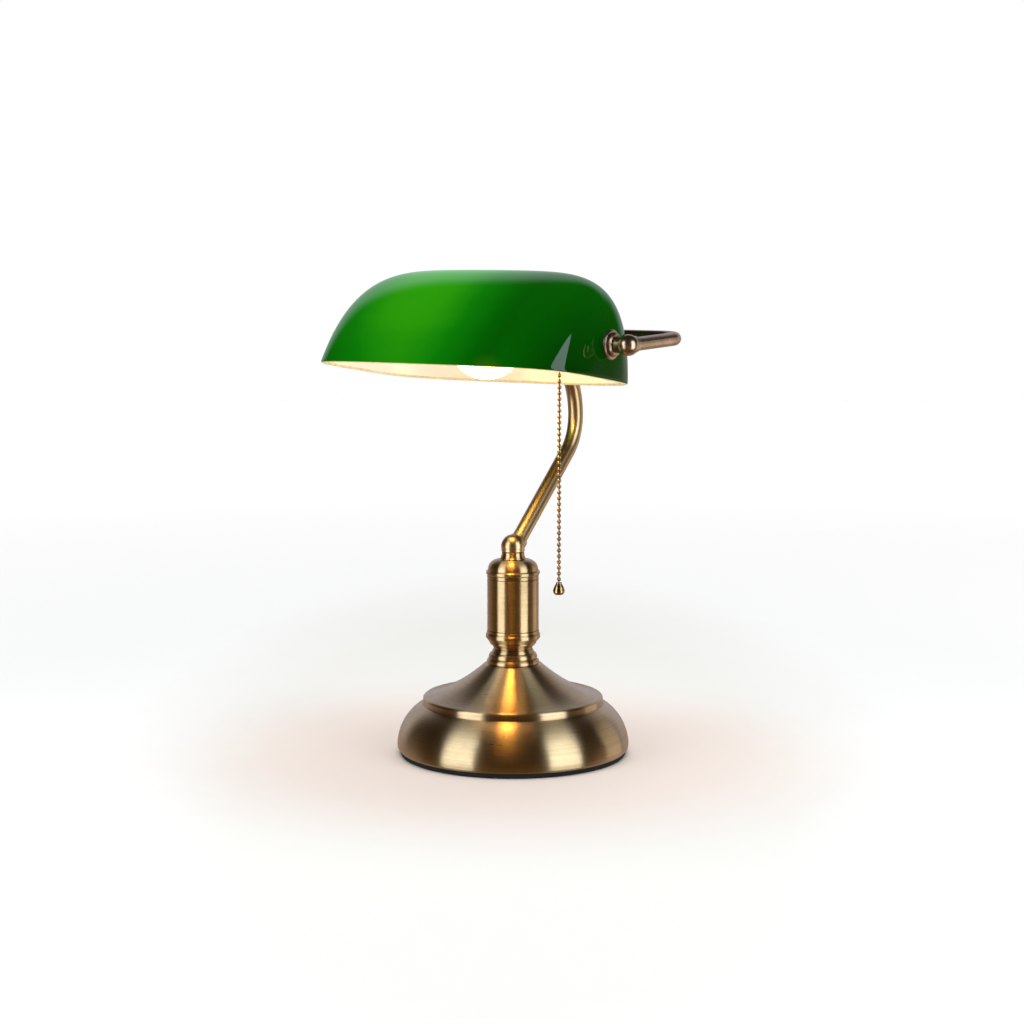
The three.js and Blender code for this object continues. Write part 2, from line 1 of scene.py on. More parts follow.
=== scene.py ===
"""Banker desk lamp: the fine surfaces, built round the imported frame.

Outlines are in millimetres, as on a drawing, and a mesh is in metres once it is made.
An outline's points are (radius, height), with a fillet as a third number where it has one.
The frame has +X along the shade towards the lamp holder, and -Y is the side where the user sits.
"""

import json
import math
from functools import partial

import bmesh
import bpy
from mathutils import Matrix, Vector


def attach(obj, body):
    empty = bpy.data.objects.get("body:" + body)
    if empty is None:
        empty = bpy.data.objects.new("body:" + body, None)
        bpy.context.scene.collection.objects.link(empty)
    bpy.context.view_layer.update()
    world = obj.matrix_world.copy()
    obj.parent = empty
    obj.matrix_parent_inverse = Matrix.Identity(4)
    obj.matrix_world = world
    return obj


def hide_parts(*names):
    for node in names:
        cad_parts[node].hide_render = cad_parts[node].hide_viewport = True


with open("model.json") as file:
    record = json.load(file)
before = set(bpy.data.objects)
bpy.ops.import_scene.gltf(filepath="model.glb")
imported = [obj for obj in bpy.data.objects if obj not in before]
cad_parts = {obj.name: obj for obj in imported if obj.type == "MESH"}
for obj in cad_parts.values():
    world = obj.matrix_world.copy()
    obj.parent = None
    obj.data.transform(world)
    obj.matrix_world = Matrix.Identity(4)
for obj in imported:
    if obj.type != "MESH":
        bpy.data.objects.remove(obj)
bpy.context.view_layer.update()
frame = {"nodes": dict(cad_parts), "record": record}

# ---- Dimensions, the same as the CAD's ----

MM = 0.001
GAP = 0.3  # clearance between touching pieces
SHEET = 1.2  # thickness of the spun brass
TUBE_WALL = 1

BASE_RADIUS = 90.4
BASE_HEIGHT = 70.3
RIDGE_RADIUS = 70.2
RIDGE_HEIGHT = 45.3
FOOT_RADIUS = 88
FOOT_HEIGHT = 3.5
BUSHING_HEIGHT = 13
CORD_HOLE_RADIUS = 6

COLUMN_RADIUS = 20
COLUMN_BOTTOM = 97.4
COLUMN_TOP = 137.4
ROD_HOLE = 5.3

BALL_HEIGHT = 162.5  # centre of the ball elbow on the column
BALL_RADIUS = 9.2
BALL_SEAT = 158.3  # flat underside of the ball elbow
BALL_SKIRT_RADIUS = 9
BALL_SOCKET_RADIUS = 7.1  # the ball's short collar round the arm
BALL_SOCKET_REACH = 11.5
ARM_RADIUS = 6
ARM_LEAN = math.radians(48.5)  # from the vertical, where it leaves the ball
ARM_FOOT_HEIGHT = 159.4  # where the arm's line crosses the column's axis
ARM_REACH = 92.2  # how far back the arm stands
LOWER_BEND = 39
UPPER_BEND = 56
ARM_START = 7  # from the foot of its line to the tube's end inside the ball
ARM_END = 7.5  # from the tube's other end to the hub's middle

PIVOT_Y = -46.8
PIVOT_Z = 322.5
YOKE_HALF_WIDTH = 128.8
YOKE_LENGTH = 82.3  # from the pivot line back to the bar
YOKE_RISE = math.radians(1.75)
YOKE_RADIUS = 5
YOKE_BEND = 19
YOKE_BALL_RADIUS = 7.7
LEG_START = 4  # from the pivot line to the tube's end inside its ball
HUB_NECK_RADIUS = 7.4
HUB_NECK_REACH = 16

SHADE_HALF_LENGTH = 111.6
SHADE_HALF_DEPTH = 70
SHADE_HEIGHT = 79.3
SHADE_LEAN = 0.18  # the crown leans back by this share of the height
SHADE_TILT = math.radians(8.5)  # front edge up
GLASS = 3.6
PIVOT_ABOVE_RIM = 25.25
STEM_BORE = 2.6
STEM_RADIUS = 4
STEM_HOLE = 4.3
STEM_TIP = 125.2  # end of a stem inside its ball

BULB_RADIUS = 28.5
BULB_CENTRE = 7

CHAIN_X = 71
CHAIN_HEAD = 297  # where the chain parts from its top link
BEAD_RADIUS = 1.6
BEAD_PITCH = 4.3
BEAD_COUNT = 35
LOWEST_BEAD = 148.55

# ---- Outlines ----


def bezier(a, b, c, d, steps=24):
    """Points of a cubic curve from a to d, both ends included."""
    a, b, c, d = (Vector(p) for p in (a, b, c, d))
    points = []
    for i in range(steps + 1):
        t = i / steps
        s = 1 - t
        points.append(tuple(a * s**3 + b * 3 * s * s * t + c * 3 * s * t * t + d * t**3))
    return points


def arc(centre, radius, start, end, steps=16):
    """Points of a round stretch; angles are in degrees from the first axis."""
    points = []
    for i in range(steps + 1):
        angle = math.radians(start + (end - start) * i / steps)
        points.append((centre[0] + radius * math.cos(angle), centre[1] + radius * math.sin(angle)))
    return points


def ring(inner, outer, low, high, fillet):
    """A plain collar, with its outer corners eased."""
    return [(inner, low), (outer, low, fillet), (outer, high, fillet), (inner, high)]


def rounded(outline, steps=4):
    """Puts an arc at each corner whose third number gives its fillet."""
    longest = 0.48  # the share of a side that one arc may take up
    points = []
    for i, (x, y, *fillet) in enumerate(outline):
        if not fillet:
            points.append((x, y))
            continue
        corner = Vector((x, y))
        before = Vector(outline[i - 1][:2]) - corner
        after = Vector(outline[(i + 1) % len(outline)][:2]) - corner
        half = before.angle(after) / 2
        shorter = min(before.length, after.length)
        reach = min(fillet[0] / math.tan(half), longest * shorter)
        radius = reach * math.tan(half)
        middle = (before.normalized() + after.normalized()).normalized()
        centre = corner + middle * (radius / math.sin(half))
        first = corner + before.normalized() * reach - centre
        last = corner + after.normalized() * reach - centre
        for k in range(steps + 1):
            points.append(tuple(centre + first.slerp(last, k / steps).normalized() * radius))
    return points


def edge_wear_and_shade(points, closed):
    """How sharply an outline turns at each point: +1 on a worn outer edge, -1 in a groove, which
    takes patina and painted shade.
    """
    full_turn_radius = 0.6
    shortest_step = 0.05
    count = len(points)
    area = sum(
        points[i - 1][0] * points[i][1] - points[i][0] * points[i - 1][1] for i in range(count)
    )
    wear_and_shade = []
    for i in range(count):
        if not closed and i in (0, count - 1):
            wear_and_shade.append(0.0)
            continue
        here = Vector(points[i])
        came = here - Vector(points[i - 1])
        goes = Vector(points[(i + 1) % count]) - here
        turn = came.angle_signed(goes, 0.0) * (-1 if area > 0 else 1)
        step = max((came.length + goes.length) / 2, shortest_step)
        wear_and_shade.append(max(-1.0, min(1.0, full_turn_radius * turn / step)))
    return wear_and_shade


# ---- Meshes ----

ALONG_X = Matrix.Rotation(math.pi / 2, 4, "Y")
ALONG_Y = Matrix.Rotation(-math.pi / 2, 4, "X")
MIRROR = Matrix.Scale(-1, 4, Vector((1, 0, 0)))
PIVOT = Matrix.Translation((0, PIVOT_Y, PIVOT_Z))
YOKE = PIVOT @ Matrix.Rotation(YOKE_RISE, 4, "X")
SHADE = PIVOT @ Matrix.Rotation(-SHADE_TILT, 4, "X")
CHAIN = Matrix.Translation((CHAIN_X, PIVOT_Y, 0))


def aimed(point, direction):
    """Stands a turned piece's axis at a point, along a direction."""
    turn = Vector(direction).to_track_quat("Z", "Y").to_matrix().to_4x4()
    return Matrix.Translation(point) @ turn


def skin(name, rings, closed, wear_and_shade=None, crease=40):
    """A closed mesh over rings of points, with the wear and painted groove shade of each ring. One
    point is a pole.
    """
    vertices = []
    numbers = []
    for points in rings:
        numbers.append(range(len(vertices), len(vertices) + len(points)))
        vertices.extend(p * MM for p in points)
    pairs = list(zip(numbers, numbers[1:]))
    if closed:
        pairs.append((numbers[-1], numbers[0]))
    faces = []
    for low, high in pairs:
        count = max(len(low), len(high))
        for k in range(count):
            n = k + 1
            corners = (
                low[k % len(low)], low[n % len(low)], high[n % len(high)], high[k % len(high)],
            )
            faces.append(list(dict.fromkeys(corners)))
    mesh = bpy.data.meshes.new(name)
    mesh.from_pydata(vertices, [], faces)
    face_outwards(mesh)
    if wear_and_shade is None:
        wear_and_shade = [0.0] * len(rings)
    values = [wear_and_shade[i] for i, points in enumerate(rings) for _ in points]
    mesh.attributes.new("wear_and_shade", "FLOAT", "POINT").data.foreach_set("value", values)
    return finished(name, mesh, crease)


def face_outwards(mesh):
    work = bmesh.new()
    work.from_mesh(mesh)
    bmesh.ops.recalc_face_normals(work, faces=work.faces)
    work.to_mesh(mesh)
    work.free()


def finished(name, mesh, crease=40):
    """Puts a mesh in the scene, smooth except at edges sharper than the crease in degrees."""
    mesh.shade_smooth()
    mesh.set_sharp_from_angle(angle=math.radians(crease))
    piece = bpy.data.objects.new(name, mesh)
    bpy.context.scene.collection.objects.link(piece)
    even = piece.modifiers.new("even_normals", "WEIGHTED_NORMAL")
    even.keep_sharp = True
    return piece


def around(place, height, sides, radius_at):
    """Points round a placed axis; radius_at gives the radius at each angle."""
    points = []
    for k in range(sides):
        angle = 2 * math.pi * k / sides
        radius = radius_at(angle)
        points.append(place @ Vector((radius * math.cos(angle), radius * math.sin(angle), height)))
    return points


def plain(radius, height, angle):
    """A round surface; a thread has a function of its own in this one's place."""
    return radius


def turned(name, outline, place=None, sides=96, surface=plain):
    """A piece turned on a lathe. The outline closes on itself unless it ends on the axis."""
    place = place or Matrix.Identity(4)
    nearly_zero = 1e-6
    points = rounded(outline)
    closed = points[0][0] > nearly_zero or points[-1][0] > nearly_zero
    rings = []
    for radius, height in points:
        if radius < nearly_zero:
            rings.append([place @ Vector((0, 0, height))])
        else:
            rings.append(around(place, height, sides, partial(surface, radius, height)))
    return skin(name, rings, closed, edge_wear_and_shade(points, closed))


def swept(name, stations, normal, outer, inner, sides=56):
    """A tube along a flat path; each station is a point and a direction."""
    angles = [2 * math.pi * k / sides for k in range(sides)]
    rings = []
    for radius, order in ((outer, stations), (inner, stations[::-1])):
        for point, tangent in order:
            side = normal.cross(tangent)
            spokes = [normal * math.cos(a) + side * math.sin(a) for a in angles]
            rings.append([point + spoke * radius for spoke in spokes])
    return skin(name, rings, True)


def bent_path(start, direction, axis, moves):
    """Walks from a start: each move is a straight length, or a (radius, angle) bend."""
    degrees_per_step = 3
    point, tangent = Vector(start), Vector(direction)
    stations = [(point.copy(), tangent.copy())]
    for move in moves:
        if not isinstance(move, tuple):
            point = point + tangent * move
            stations.append((point.copy(), tangent.copy()))
            continue
        radius, angle = move
        centre = point + axis.cross(tangent) * radius
        steps = math.ceil(math.degrees(angle) / degrees_per_step)
        step = Matrix.Rotation(angle / steps, 3, axis)
        for _ in range(steps):
            point = centre + step @ (point - centre)
            tangent = step @ tangent
            stations.append((point.copy(), tangent.copy()))
    return stations


def carved(piece, joined=(), removed=()):
    """Joins and cuts solids, and gives back the one piece."""
    for others, operation in ((joined, "UNION"), (removed, "DIFFERENCE")):
        for other in others:
            step = piece.modifiers.new("carve", "BOOLEAN")
            step.operation = operation
            step.solver = "EXACT"
            step.object = other
    name = piece.name
    piece.modifiers.remove(piece.modifiers["even_normals"])
    graph = bpy.context.evaluated_depsgraph_get()
    mesh = bpy.data.meshes.new_from_object(piece.evaluated_get(graph))
    for spent in (piece, *joined, *removed):
        bpy.data.objects.remove(spent)
    return finished(name, mesh)


def drill(radius, start, end):
    """A plain round cutter between two points."""
    run = Vector(end) - Vector(start)
    return cutter(radius, 0, run.length, aimed(start, run))


def cutter(radius, low, high, place):
    outline = [(0, low), (radius, low), (radius, high), (0, high)]
    return turned("cutter", outline, place, sides=48)


# ---- Materials ----


def feed(owner, socket, value):
    """Links a socket to another one, or sets its value."""
    if isinstance(value, bpy.types.NodeSocket):
        owner.node_tree.links.new(value, socket)
    else:
        socket.default_value = value


def node(owner, kind, inputs=None, **settings):
    """Adds a node to a material or to the world."""
    made = owner.node_tree.nodes.new(kind)
    for name, value in settings.items():
        setattr(made, name, value)
    for name, value in (inputs or {}).items():
        feed(owner, made.inputs[name], value)
    return made


def new_material(name, uniform):
    """A material whose uniform values are set on the shader's own sockets."""
    material = bpy.data.materials.new(name)
    material.use_nodes = True
    shader = material.node_tree.nodes["Principled BSDF"]
    for socket, value in uniform.items():
        shader.inputs[socket].default_value = value
    return material, shader


def drive(material, shader, socket, value):
    material.node_tree.links.new(value, shader.inputs[socket])


def place_of(material):
    return node(material, "ShaderNodeTexCoord").outputs["Object"]


def noise(material, vector, scale, detail=4.0, roughness=0.55):
    return node(
        material,
        "ShaderNodeTexNoise",
        {"Vector": vector, "Scale": scale, "Detail": detail, "Roughness": roughness},
    ).outputs["Fac"]


def spread(material, value, low, high, to_low=0.0, to_high=1.0):
    """Maps a range of values onto another, and holds it there."""
    return node(
        material,
        "ShaderNodeMapRange",
        {"Value": value, "From Min": low, "From Max": high, "To Min": to_low, "To Max": to_high},
    ).outputs["Result"]


def maths(material, operation, a, b):
    return node(material, "ShaderNodeMath", {0: a, 1: b}, operation=operation).outputs["Value"]


def scaled(material, value, factor):
    return maths(material, "MULTIPLY", value, factor)


def vector_maths(owner, operation, a, b=None, result="Value"):
    inputs = {0: a} if b is None else {0: a, 1: b}
    return node(owner, "ShaderNodeVectorMath", inputs, operation=operation).outputs[result]


def xyz(owner, vector):
    return node(owner, "ShaderNodeSeparateXYZ", {"Vector": vector}).outputs


def wear_and_shade_of(material):
    return node(material, "ShaderNodeAttribute", attribute_name="wear_and_shade").outputs["Fac"]


def mixed(owner, factor, low, high):
    """Blends two colours, each a socket or four numbers."""
    first_colour, second_colour, blended_colour = 6, 7, 2
    made = node(
        owner,
        "ShaderNodeMix",
        {"Factor": factor, first_colour: low, second_colour: high},
        data_type="RGBA",
        clamp_factor=True,
    )
    return made.outputs[blended_colour]


def set_steps(ramp, steps):
    """Fills a colour ramp with (position, colour) pairs."""
    elements = ramp.color_ramp.elements
    while len(elements) < len(steps):
        elements.new(1.0)
    for element, (position, colour) in zip(elements, steps):
        element.position = position
        element.color = colour


def bumped(material, shader, height, distance, strength=1.0):
    made = node(
        material,
        "ShaderNodeBump",
        {"Height": height, "Distance": distance, "Strength": strength},
    )
    drive(material, shader, "Normal", made.outputs["Normal"])


def turning_marks(material, place):
    """Fine circles round the upright axis, as a lathe or a polishing wheel leaves them."""
    marks_per_metre = 2600.0
    unevenness = 1.5
    parts = xyz(material, place)
    flat = node(
        material, "ShaderNodeCombineXYZ", {"X": parts["X"], "Y": parts["Y"]}
    ).outputs["Vector"]
    radius = vector_maths(material, "LENGTH", flat)
    turn = xyz(material, vector_maths(material, "NORMALIZE", flat, result="Vector"))
    outwards = scaled(material, radius, marks_per_metre)
    upwards = scaled(material, parts["Z"], marks_per_metre)
    marks = node(
        material,
        "ShaderNodeCombineXYZ",
        {
            "X": maths(material, "ADD", outwards, turn["X"]),
            "Y": maths(material, "ADD", upwards, turn["Y"]),
            "Z": scaled(material, turn["X"], unevenness),
        },
    ).outputs["Vector"]
    return noise(material, marks, 1.0, 3.0, 0.6)


GOLD = (0.65, 0.485, 0.275, 1)
# painted light: a warmer copy of GOLD for the bulb's warm light on the column and on the plain brass
# near the bulb
LAMPLIT_GOLD = (0.67, 0.475, 0.24, 1)
PATINA = (0.26, 0.145, 0.06, 1)
# painted shade, nearly black, for the bottoms of grooves
GROOVE_SHADE = (0.03, 0.018, 0.009, 1)
DARK_GOLD = (0.6, 0.44, 0.29, 1)
DARK_PATINA = (0.17, 0.11, 0.065, 1)
CHAIN_GOLD = (0.52, 0.33, 0.13, 1)
CHAIN_PATINA = (0.14, 0.065, 0.02, 1)
BRASS_RELIEF = 0.00002


def brass(name, gold, patina, roughness, marks=True, mottle=0.35, relief=0.5):
    """Antique brass under lacquer: turning marks, cloudy patina, bright worn edges, patina in the
    grooves and painted shade deep in them.

    With marks, the anisotropy smears reflections across them, along the piece's outline.
    """
    material, shader = new_material(
        name,
        {
            "Metallic": 1.0,
            "Coat Weight": 0.2,
            "Coat Roughness": 0.08,
            "Coat IOR": 1.5,
            "Anisotropic": 1.0 if marks else 0.0,
            "Anisotropic Rotation": 0.25 if marks else 0.0,
        },
    )
    place = place_of(material)
    clouds = noise(material, place, 42.0, 5.0)
    specks = noise(material, place, 420.0, 4.0, 0.6)
    if marks:
        lines = turning_marks(material, place)
        circles = node(material, "ShaderNodeTangent", direction_type="RADIAL", axis="Z")
        drive(material, shader, "Tangent", circles.outputs["Tangent"])
    else:
        lines = noise(material, place, 1300.0, 3.0, 0.6)
    wear_and_shade = wear_and_shade_of(material)
    age = maths(
        material,
        "ADD",
        spread(material, clouds, 0.38, 0.68, 0.0, mottle),
        spread(material, specks, 0.5, 0.75, 0.0, mottle * 0.6),
    )
    age = maths(material, "ADD", age, spread(material, lines, 0.3, 0.75, -0.16, 0.26))
    age = maths(material, "ADD", age, spread(material, wear_and_shade, -1.0, 0.0, 0.7, 0.0))
    age = maths(material, "SUBTRACT", age, spread(material, wear_and_shade, 0.0, 1.0, 0.0, 0.4))
    # painted shade: the deepest grooves go nearly black
    groove_shade = spread(material, wear_and_shade, -0.85, -0.2, 0.9, 0.0)
    aged = mixed(material, age, gold, patina)
    drive(material, shader, "Base Color", mixed(material, groove_shade, aged, GROOVE_SHADE))
    dullness = maths(
        material,
        "ADD",
        spread(material, lines, 0.3, 0.75, roughness - 0.03, roughness + 0.05),
        spread(material, clouds, 0.35, 0.7, 0.0, 0.04),
    )
    drive(material, shader, "Roughness", dullness)
    height = maths(material, "ADD", lines, scaled(material, specks, 0.5))
    bumped(material, shader, height, BRASS_RELIEF, relief)
    return material


def grained(name, light, dark, roughness, scale, relief, metallic=0.0, coat=0.0):
    """A plain cast, moulded or plated surface with its own fine grain, and paler edges."""
    material, shader = new_material(name, {"Metallic": metallic, "Coat Weight": coat})
    place = place_of(material)
    grain = noise(material, place, scale, 5.0, 0.6)
    clouds = noise(material, place, scale * 0.08, 3.0)
    tone = maths(
        material,
        "ADD",
        spread(material, grain, 0.35, 0.7, 0.0, 0.6),
        spread(material, clouds, 0.3, 0.7, 0.0, 0.3),
    )
    edges = spread(material, wear_and_shade_of(material), 0.0, 1.0, 0.0, 0.35)
    tone = maths(material, "ADD", tone, edges)
    drive(material, shader, "Base Color", mixed(material, tone, dark, light))
    dullness = spread(material, grain, 0.3, 0.75, roughness - 0.06, roughness + 0.08)
    drive(material, shader, "Roughness", dullness)
    bumped(material, shader, grain, relief)
    return material


# The glow of the glass, in metres from its centre with the shade at rest.
GLOW_CENTRE = (-0.02, -0.04, 0.3)
GLOW_SPAN = 0.2
GLOW_STEPS = (  # shares of the span, and the colour there
    (0.37, (0.024, 0.335, 0.002, 1)),
    (0.395, (0.021, 0.3, 0.002, 1)),
    (0.42, (0.01, 0.24, 0.002, 1)),
    (0.45, (0.002, 0.18, 0.001, 1)),
    (0.485, (0.001, 0.145, 0.001, 1)),
    (0.52, (0.0, 0.105, 0.0, 1)),
    (0.56, (0.0, 0.082, 0.0, 1)),
    (0.63, (0.0, 0.095, 0.0, 1)),
)
RIM_GLOW_CENTRE = (0.057, -0.124, 0.304)
RIM_GLOW = (0.06, 0.19, 0.002, 1)
# painted shade at the holder's end of the glass, where its glow dies down
END_GLOW = (0.0, 0.008, 0.0, 1)
GREEN = (0.0002, 0.004, 0.0003, 1)
PALER_GREEN = (0.0004, 0.009, 0.0006, 1)
STREAKS_PER_METRE = (9.0, 30.0, 55.0)


def green_glass():
    """Polished green outside, lit through from within where the bulb is near."""
    material, shader = new_material(
        "green_glass", {"Roughness": 0.03, "IOR": 1.5, "Emission Strength": 1.0}
    )
    place = place_of(material)
    streaks = vector_maths(material, "MULTIPLY", place, STREAKS_PER_METRE, result="Vector")
    clouds = noise(material, streaks, 1.0, 3.0)
    seeds = noise(material, place, 900.0, 2.0)
    parts = xyz(material, place)
    away = vector_maths(material, "DISTANCE", place, GLOW_CENTRE)
    away = maths(material, "ADD", away, spread(material, clouds, 0.3, 0.7, -0.0015, 0.0015))
    share = maths(material, "DIVIDE", away, GLOW_SPAN)
    ramp = node(material, "ShaderNodeValToRGB", {"Fac": share})
    set_steps(ramp, GLOW_STEPS)
    from_rim_glow = vector_maths(material, "DISTANCE", place, RIM_GLOW_CENTRE)
    near_rim = spread(material, from_rim_glow, 0.003, 0.015, 0.35, 0.0)
    lit = mixed(material, near_rim, ramp.outputs["Color"], RIM_GLOW)
    # painted shade: the glow dies down towards the holder's end, most of all low down
    towards_end = spread(material, parts["X"], 0.07, 0.105)
    lowness = spread(material, parts["Z"], 0.3, 0.37, 0.8, 0.1)
    lit = mixed(material, scaled(material, towards_end, lowness), lit, END_GLOW)
    drive(material, shader, "Emission Color", lit)
    body = mixed(material, spread(material, clouds, 0.3, 0.7), GREEN, PALER_GREEN)
    drive(material, shader, "Base Color", body)
    waviness = maths(material, "ADD", clouds, scaled(material, seeds, 0.02))
    bumped(material, shader, waviness, 0.00006)
    return material


def opal_glass():
    """The white inner layer of the cased glass, glowing most round the bulb."""
    cream, white = (0.8, 0.73, 0.6, 1), (0.86, 0.81, 0.7, 1)
    faint_glow, warm_glow = (0.15, 0.12, 0.108, 1), (0.23, 0.135, 0.063, 1)
    material, shader = new_material(
        "opal_glass",
        {"Roughness": 0.4, "Coat Weight": 0.1, "Coat Roughness": 0.1, "Emission Strength": 1.0},
    )
    place = place_of(material)
    clouds = noise(material, place, 30.0, 4.0)
    body = mixed(material, spread(material, clouds, 0.3, 0.7), cream, white)
    drive(material, shader, "Base Color", body)
    bulb_middle = Vector((BULB_CENTRE, PIVOT_Y, PIVOT_Z)) * MM
    away = vector_maths(material, "DISTANCE", place, bulb_middle)
    away = maths(material, "ADD", away, scaled(material, clouds, 0.01))
    near = spread(material, away, 0.045, 0.115, 1.0, 0.0)
    drive(material, shader, "Emission Color", mixed(material, near, faint_glow, warm_glow))
    bumped(material, shader, clouds, 0.0002, 0.4)
    return material


def rim_glass():
    """The ground edge, where the white layer shows, warm with the light inside it."""
    cream, pale_cream = (0.55, 0.46, 0.24, 1), (0.7, 0.62, 0.4, 1)
    glow, bright_glow = (0.2, 0.13, 0.04, 1), (0.28, 0.2, 0.08, 1)
    material, shader = new_material("rim_glass", {"Roughness": 0.25, "Emission Strength": 1.0})
    place = place_of(material)
    grain = noise(material, place, 260.0, 4.0)
    tone = spread(material, grain, 0.3, 0.7)
    drive(material, shader, "Base Color", mixed(material, tone, cream, pale_cream))
    drive(material, shader, "Emission Color", mixed(material, tone, glow, bright_glow))
    bumped(material, shader, grain, 0.00005)
    return material


def lit_bulb():
    """Frosted glass round a warm light, a little dimmer towards its neck."""
    warm_light, neck_light = (1.0, 0.48, 0.085, 1), (0.1, 0.045, 0.01, 1)
    frosted, clear = (0.9, 0.86, 0.78, 1), (0.97, 0.95, 0.9, 1)
    neck_start, neck_end = (BULB_CENTRE + 18) * MM, 0.05
    material, shader = new_material("lit_bulb", {"Roughness": 0.35, "Emission Strength": 26.0})
    place = place_of(material)
    neck = spread(material, xyz(material, place)["X"], neck_start, neck_end)
    frost = noise(material, place, 700.0, 3.0)
    drive(material, shader, "Emission Color", mixed(material, neck, warm_light, neck_light))
    drive(material, shader, "Base Color", mixed(material, frost, frosted, clear))
    bumped(material, shader, frost, 0.00002)
    return material


FINISHES = {
    "turned_brass": brass("turned_brass", GOLD, PATINA, 0.29, mottle=0.2, relief=0.05),
    # painted light: the column's brass is a warmer copy, as if lit by the bulb
    "lamplit_column_brass": brass("lamplit_column_brass", LAMPLIT_GOLD, PATINA, 0.32, mottle=0.2, relief=0.08),
    "plain_brass": brass("plain_brass", LAMPLIT_GOLD, PATINA, 0.28, marks=False, relief=0.2),
    "dark_brass": brass(
        "dark_brass", DARK_GOLD, DARK_PATINA, 0.26, marks=False, mottle=0.55, relief=0.3
    ),
    "chain_brass": brass("chain_brass", CHAIN_GOLD, CHAIN_PATINA, 0.16, marks=False),
    "steel": grained(
        "zinc_steel", light=(0.58, 0.6, 0.62, 1), dark=(0.34, 0.35, 0.37, 1),
        roughness=0.38, scale=500.0, relief=0.00002, metallic=1.0,
    ),
    "nickel": grained(
        "nickel", light=(0.76, 0.74, 0.7, 1), dark=(0.5, 0.48, 0.44, 1),
        roughness=0.25, scale=600.0, relief=0.00001, metallic=1.0,
    ),
    "iron": grained(
        "cast_iron", light=(0.16, 0.16, 0.165, 1), dark=(0.05, 0.05, 0.055, 1),
        roughness=0.7, scale=260.0, relief=0.0003, metallic=0.4,
    ),
    "foam": grained(
        "black_foam", light=(0.012, 0.011, 0.011, 1), dark=(0.004, 0.004, 0.004, 1),
        roughness=0.85, scale=1100.0, relief=0.00012,
    ),
    "rubber": grained(
        "black_rubber", light=(0.05, 0.05, 0.052, 1), dark=(0.015, 0.015, 0.016, 1),
        roughness=0.65, scale=900.0, relief=0.00004,
    ),
    "black_plastic": grained(
        "black_plastic", light=(0.045, 0.045, 0.05, 1), dark=(0.02, 0.02, 0.022, 1),
        roughness=0.42, scale=800.0, relief=0.00002, coat=0.2,
    ),
    "green_glass": green_glass(),
    "bulb": lit_bulb(),
}
OPAL = opal_glass()
RIM = rim_glass()

# ---- Which body and finish a node has ----

record = frame["record"]
BODY_OF = {n: body for body, members in record["behaviour"]["bodies"].items() for n in members}


def show(piece, replaced, slot, finish=None):
    """Gives a piece its finish, and lets it stand for its CAD node on that node's body."""
    if not piece.data.materials:
        piece.data.materials.append(FINISHES[finish or slot])
    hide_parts(replaced)
    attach(piece, BODY_OF[replaced])
    return piece


def show_turned(replaced, slot, finish, outline, place=None, **options):
    """Turns the piece for a CAD node, and shows it."""
    return show(turned("fine_" + replaced, outline, place, **options), replaced, slot, finish)


# ---- Base ----


def make_base():
    show_turned(
        "foot_pad", "foam", "foam",
        [(0, 0), (FOOT_RADIUS - 0.2, 0, 0.8), (FOOT_RADIUS, FOOT_HEIGHT, 0.4), (0, FOOT_HEIGHT)],
        sides=192,
    )
    outside = [
        (88.7, FOOT_HEIGHT + GAP, 0.3),
        (90.1, 5.4, 0.9),
        *bezier((BASE_RADIUS, 8), (BASE_RADIUS, 14), (86.7, 31.9), (70, 39.6), 48),
        (RIDGE_RADIUS, RIDGE_HEIGHT, 2.2),
        *bezier((65.5, 45.9), (54.5, 47.6), (38.5, 56.3), (22.5, BASE_HEIGHT), 48),
    ]
    inside = [
        (ROD_HOLE, BASE_HEIGHT),
        (ROD_HOLE, 69.1),
        *bezier((22, 69.1), (38, 55), (55, 46), (66.5, 44.4), 20),
        (68.7, 43.1),
        *bezier((68.7, 38.5), (85.4, 30.7), (89.1, 13.7), (89.1, 8), 20),
        (87.5, FOOT_HEIGHT + GAP),
    ]
    cover = turned("fine_base_cover", outside + inside, sides=224)
    cord_hole = drill(CORD_HOLE_RADIUS, (0, 80, BUSHING_HEIGHT), (0, 100, BUSHING_HEIGHT))
    show(carved(cover, removed=[cord_hole]), "base_cover", "brass", "turned_brass")
    show_turned(
        "cord_bushing", "black_plastic", "black_plastic",
        [
            (3.4, 84), (5.6, 84, 0.2), (5.6, 90.7), (7.2, 90.8, 0.2), (7.2, 92, 0.5),
            (6.4, 92.8, 0.4), (4.2, 92.8, 0.6), (3.4, 92, 0.3),
        ],
        Matrix.Translation((0, 0, BUSHING_HEIGHT)) @ ALONG_Y,
    )


# ---- Column ----


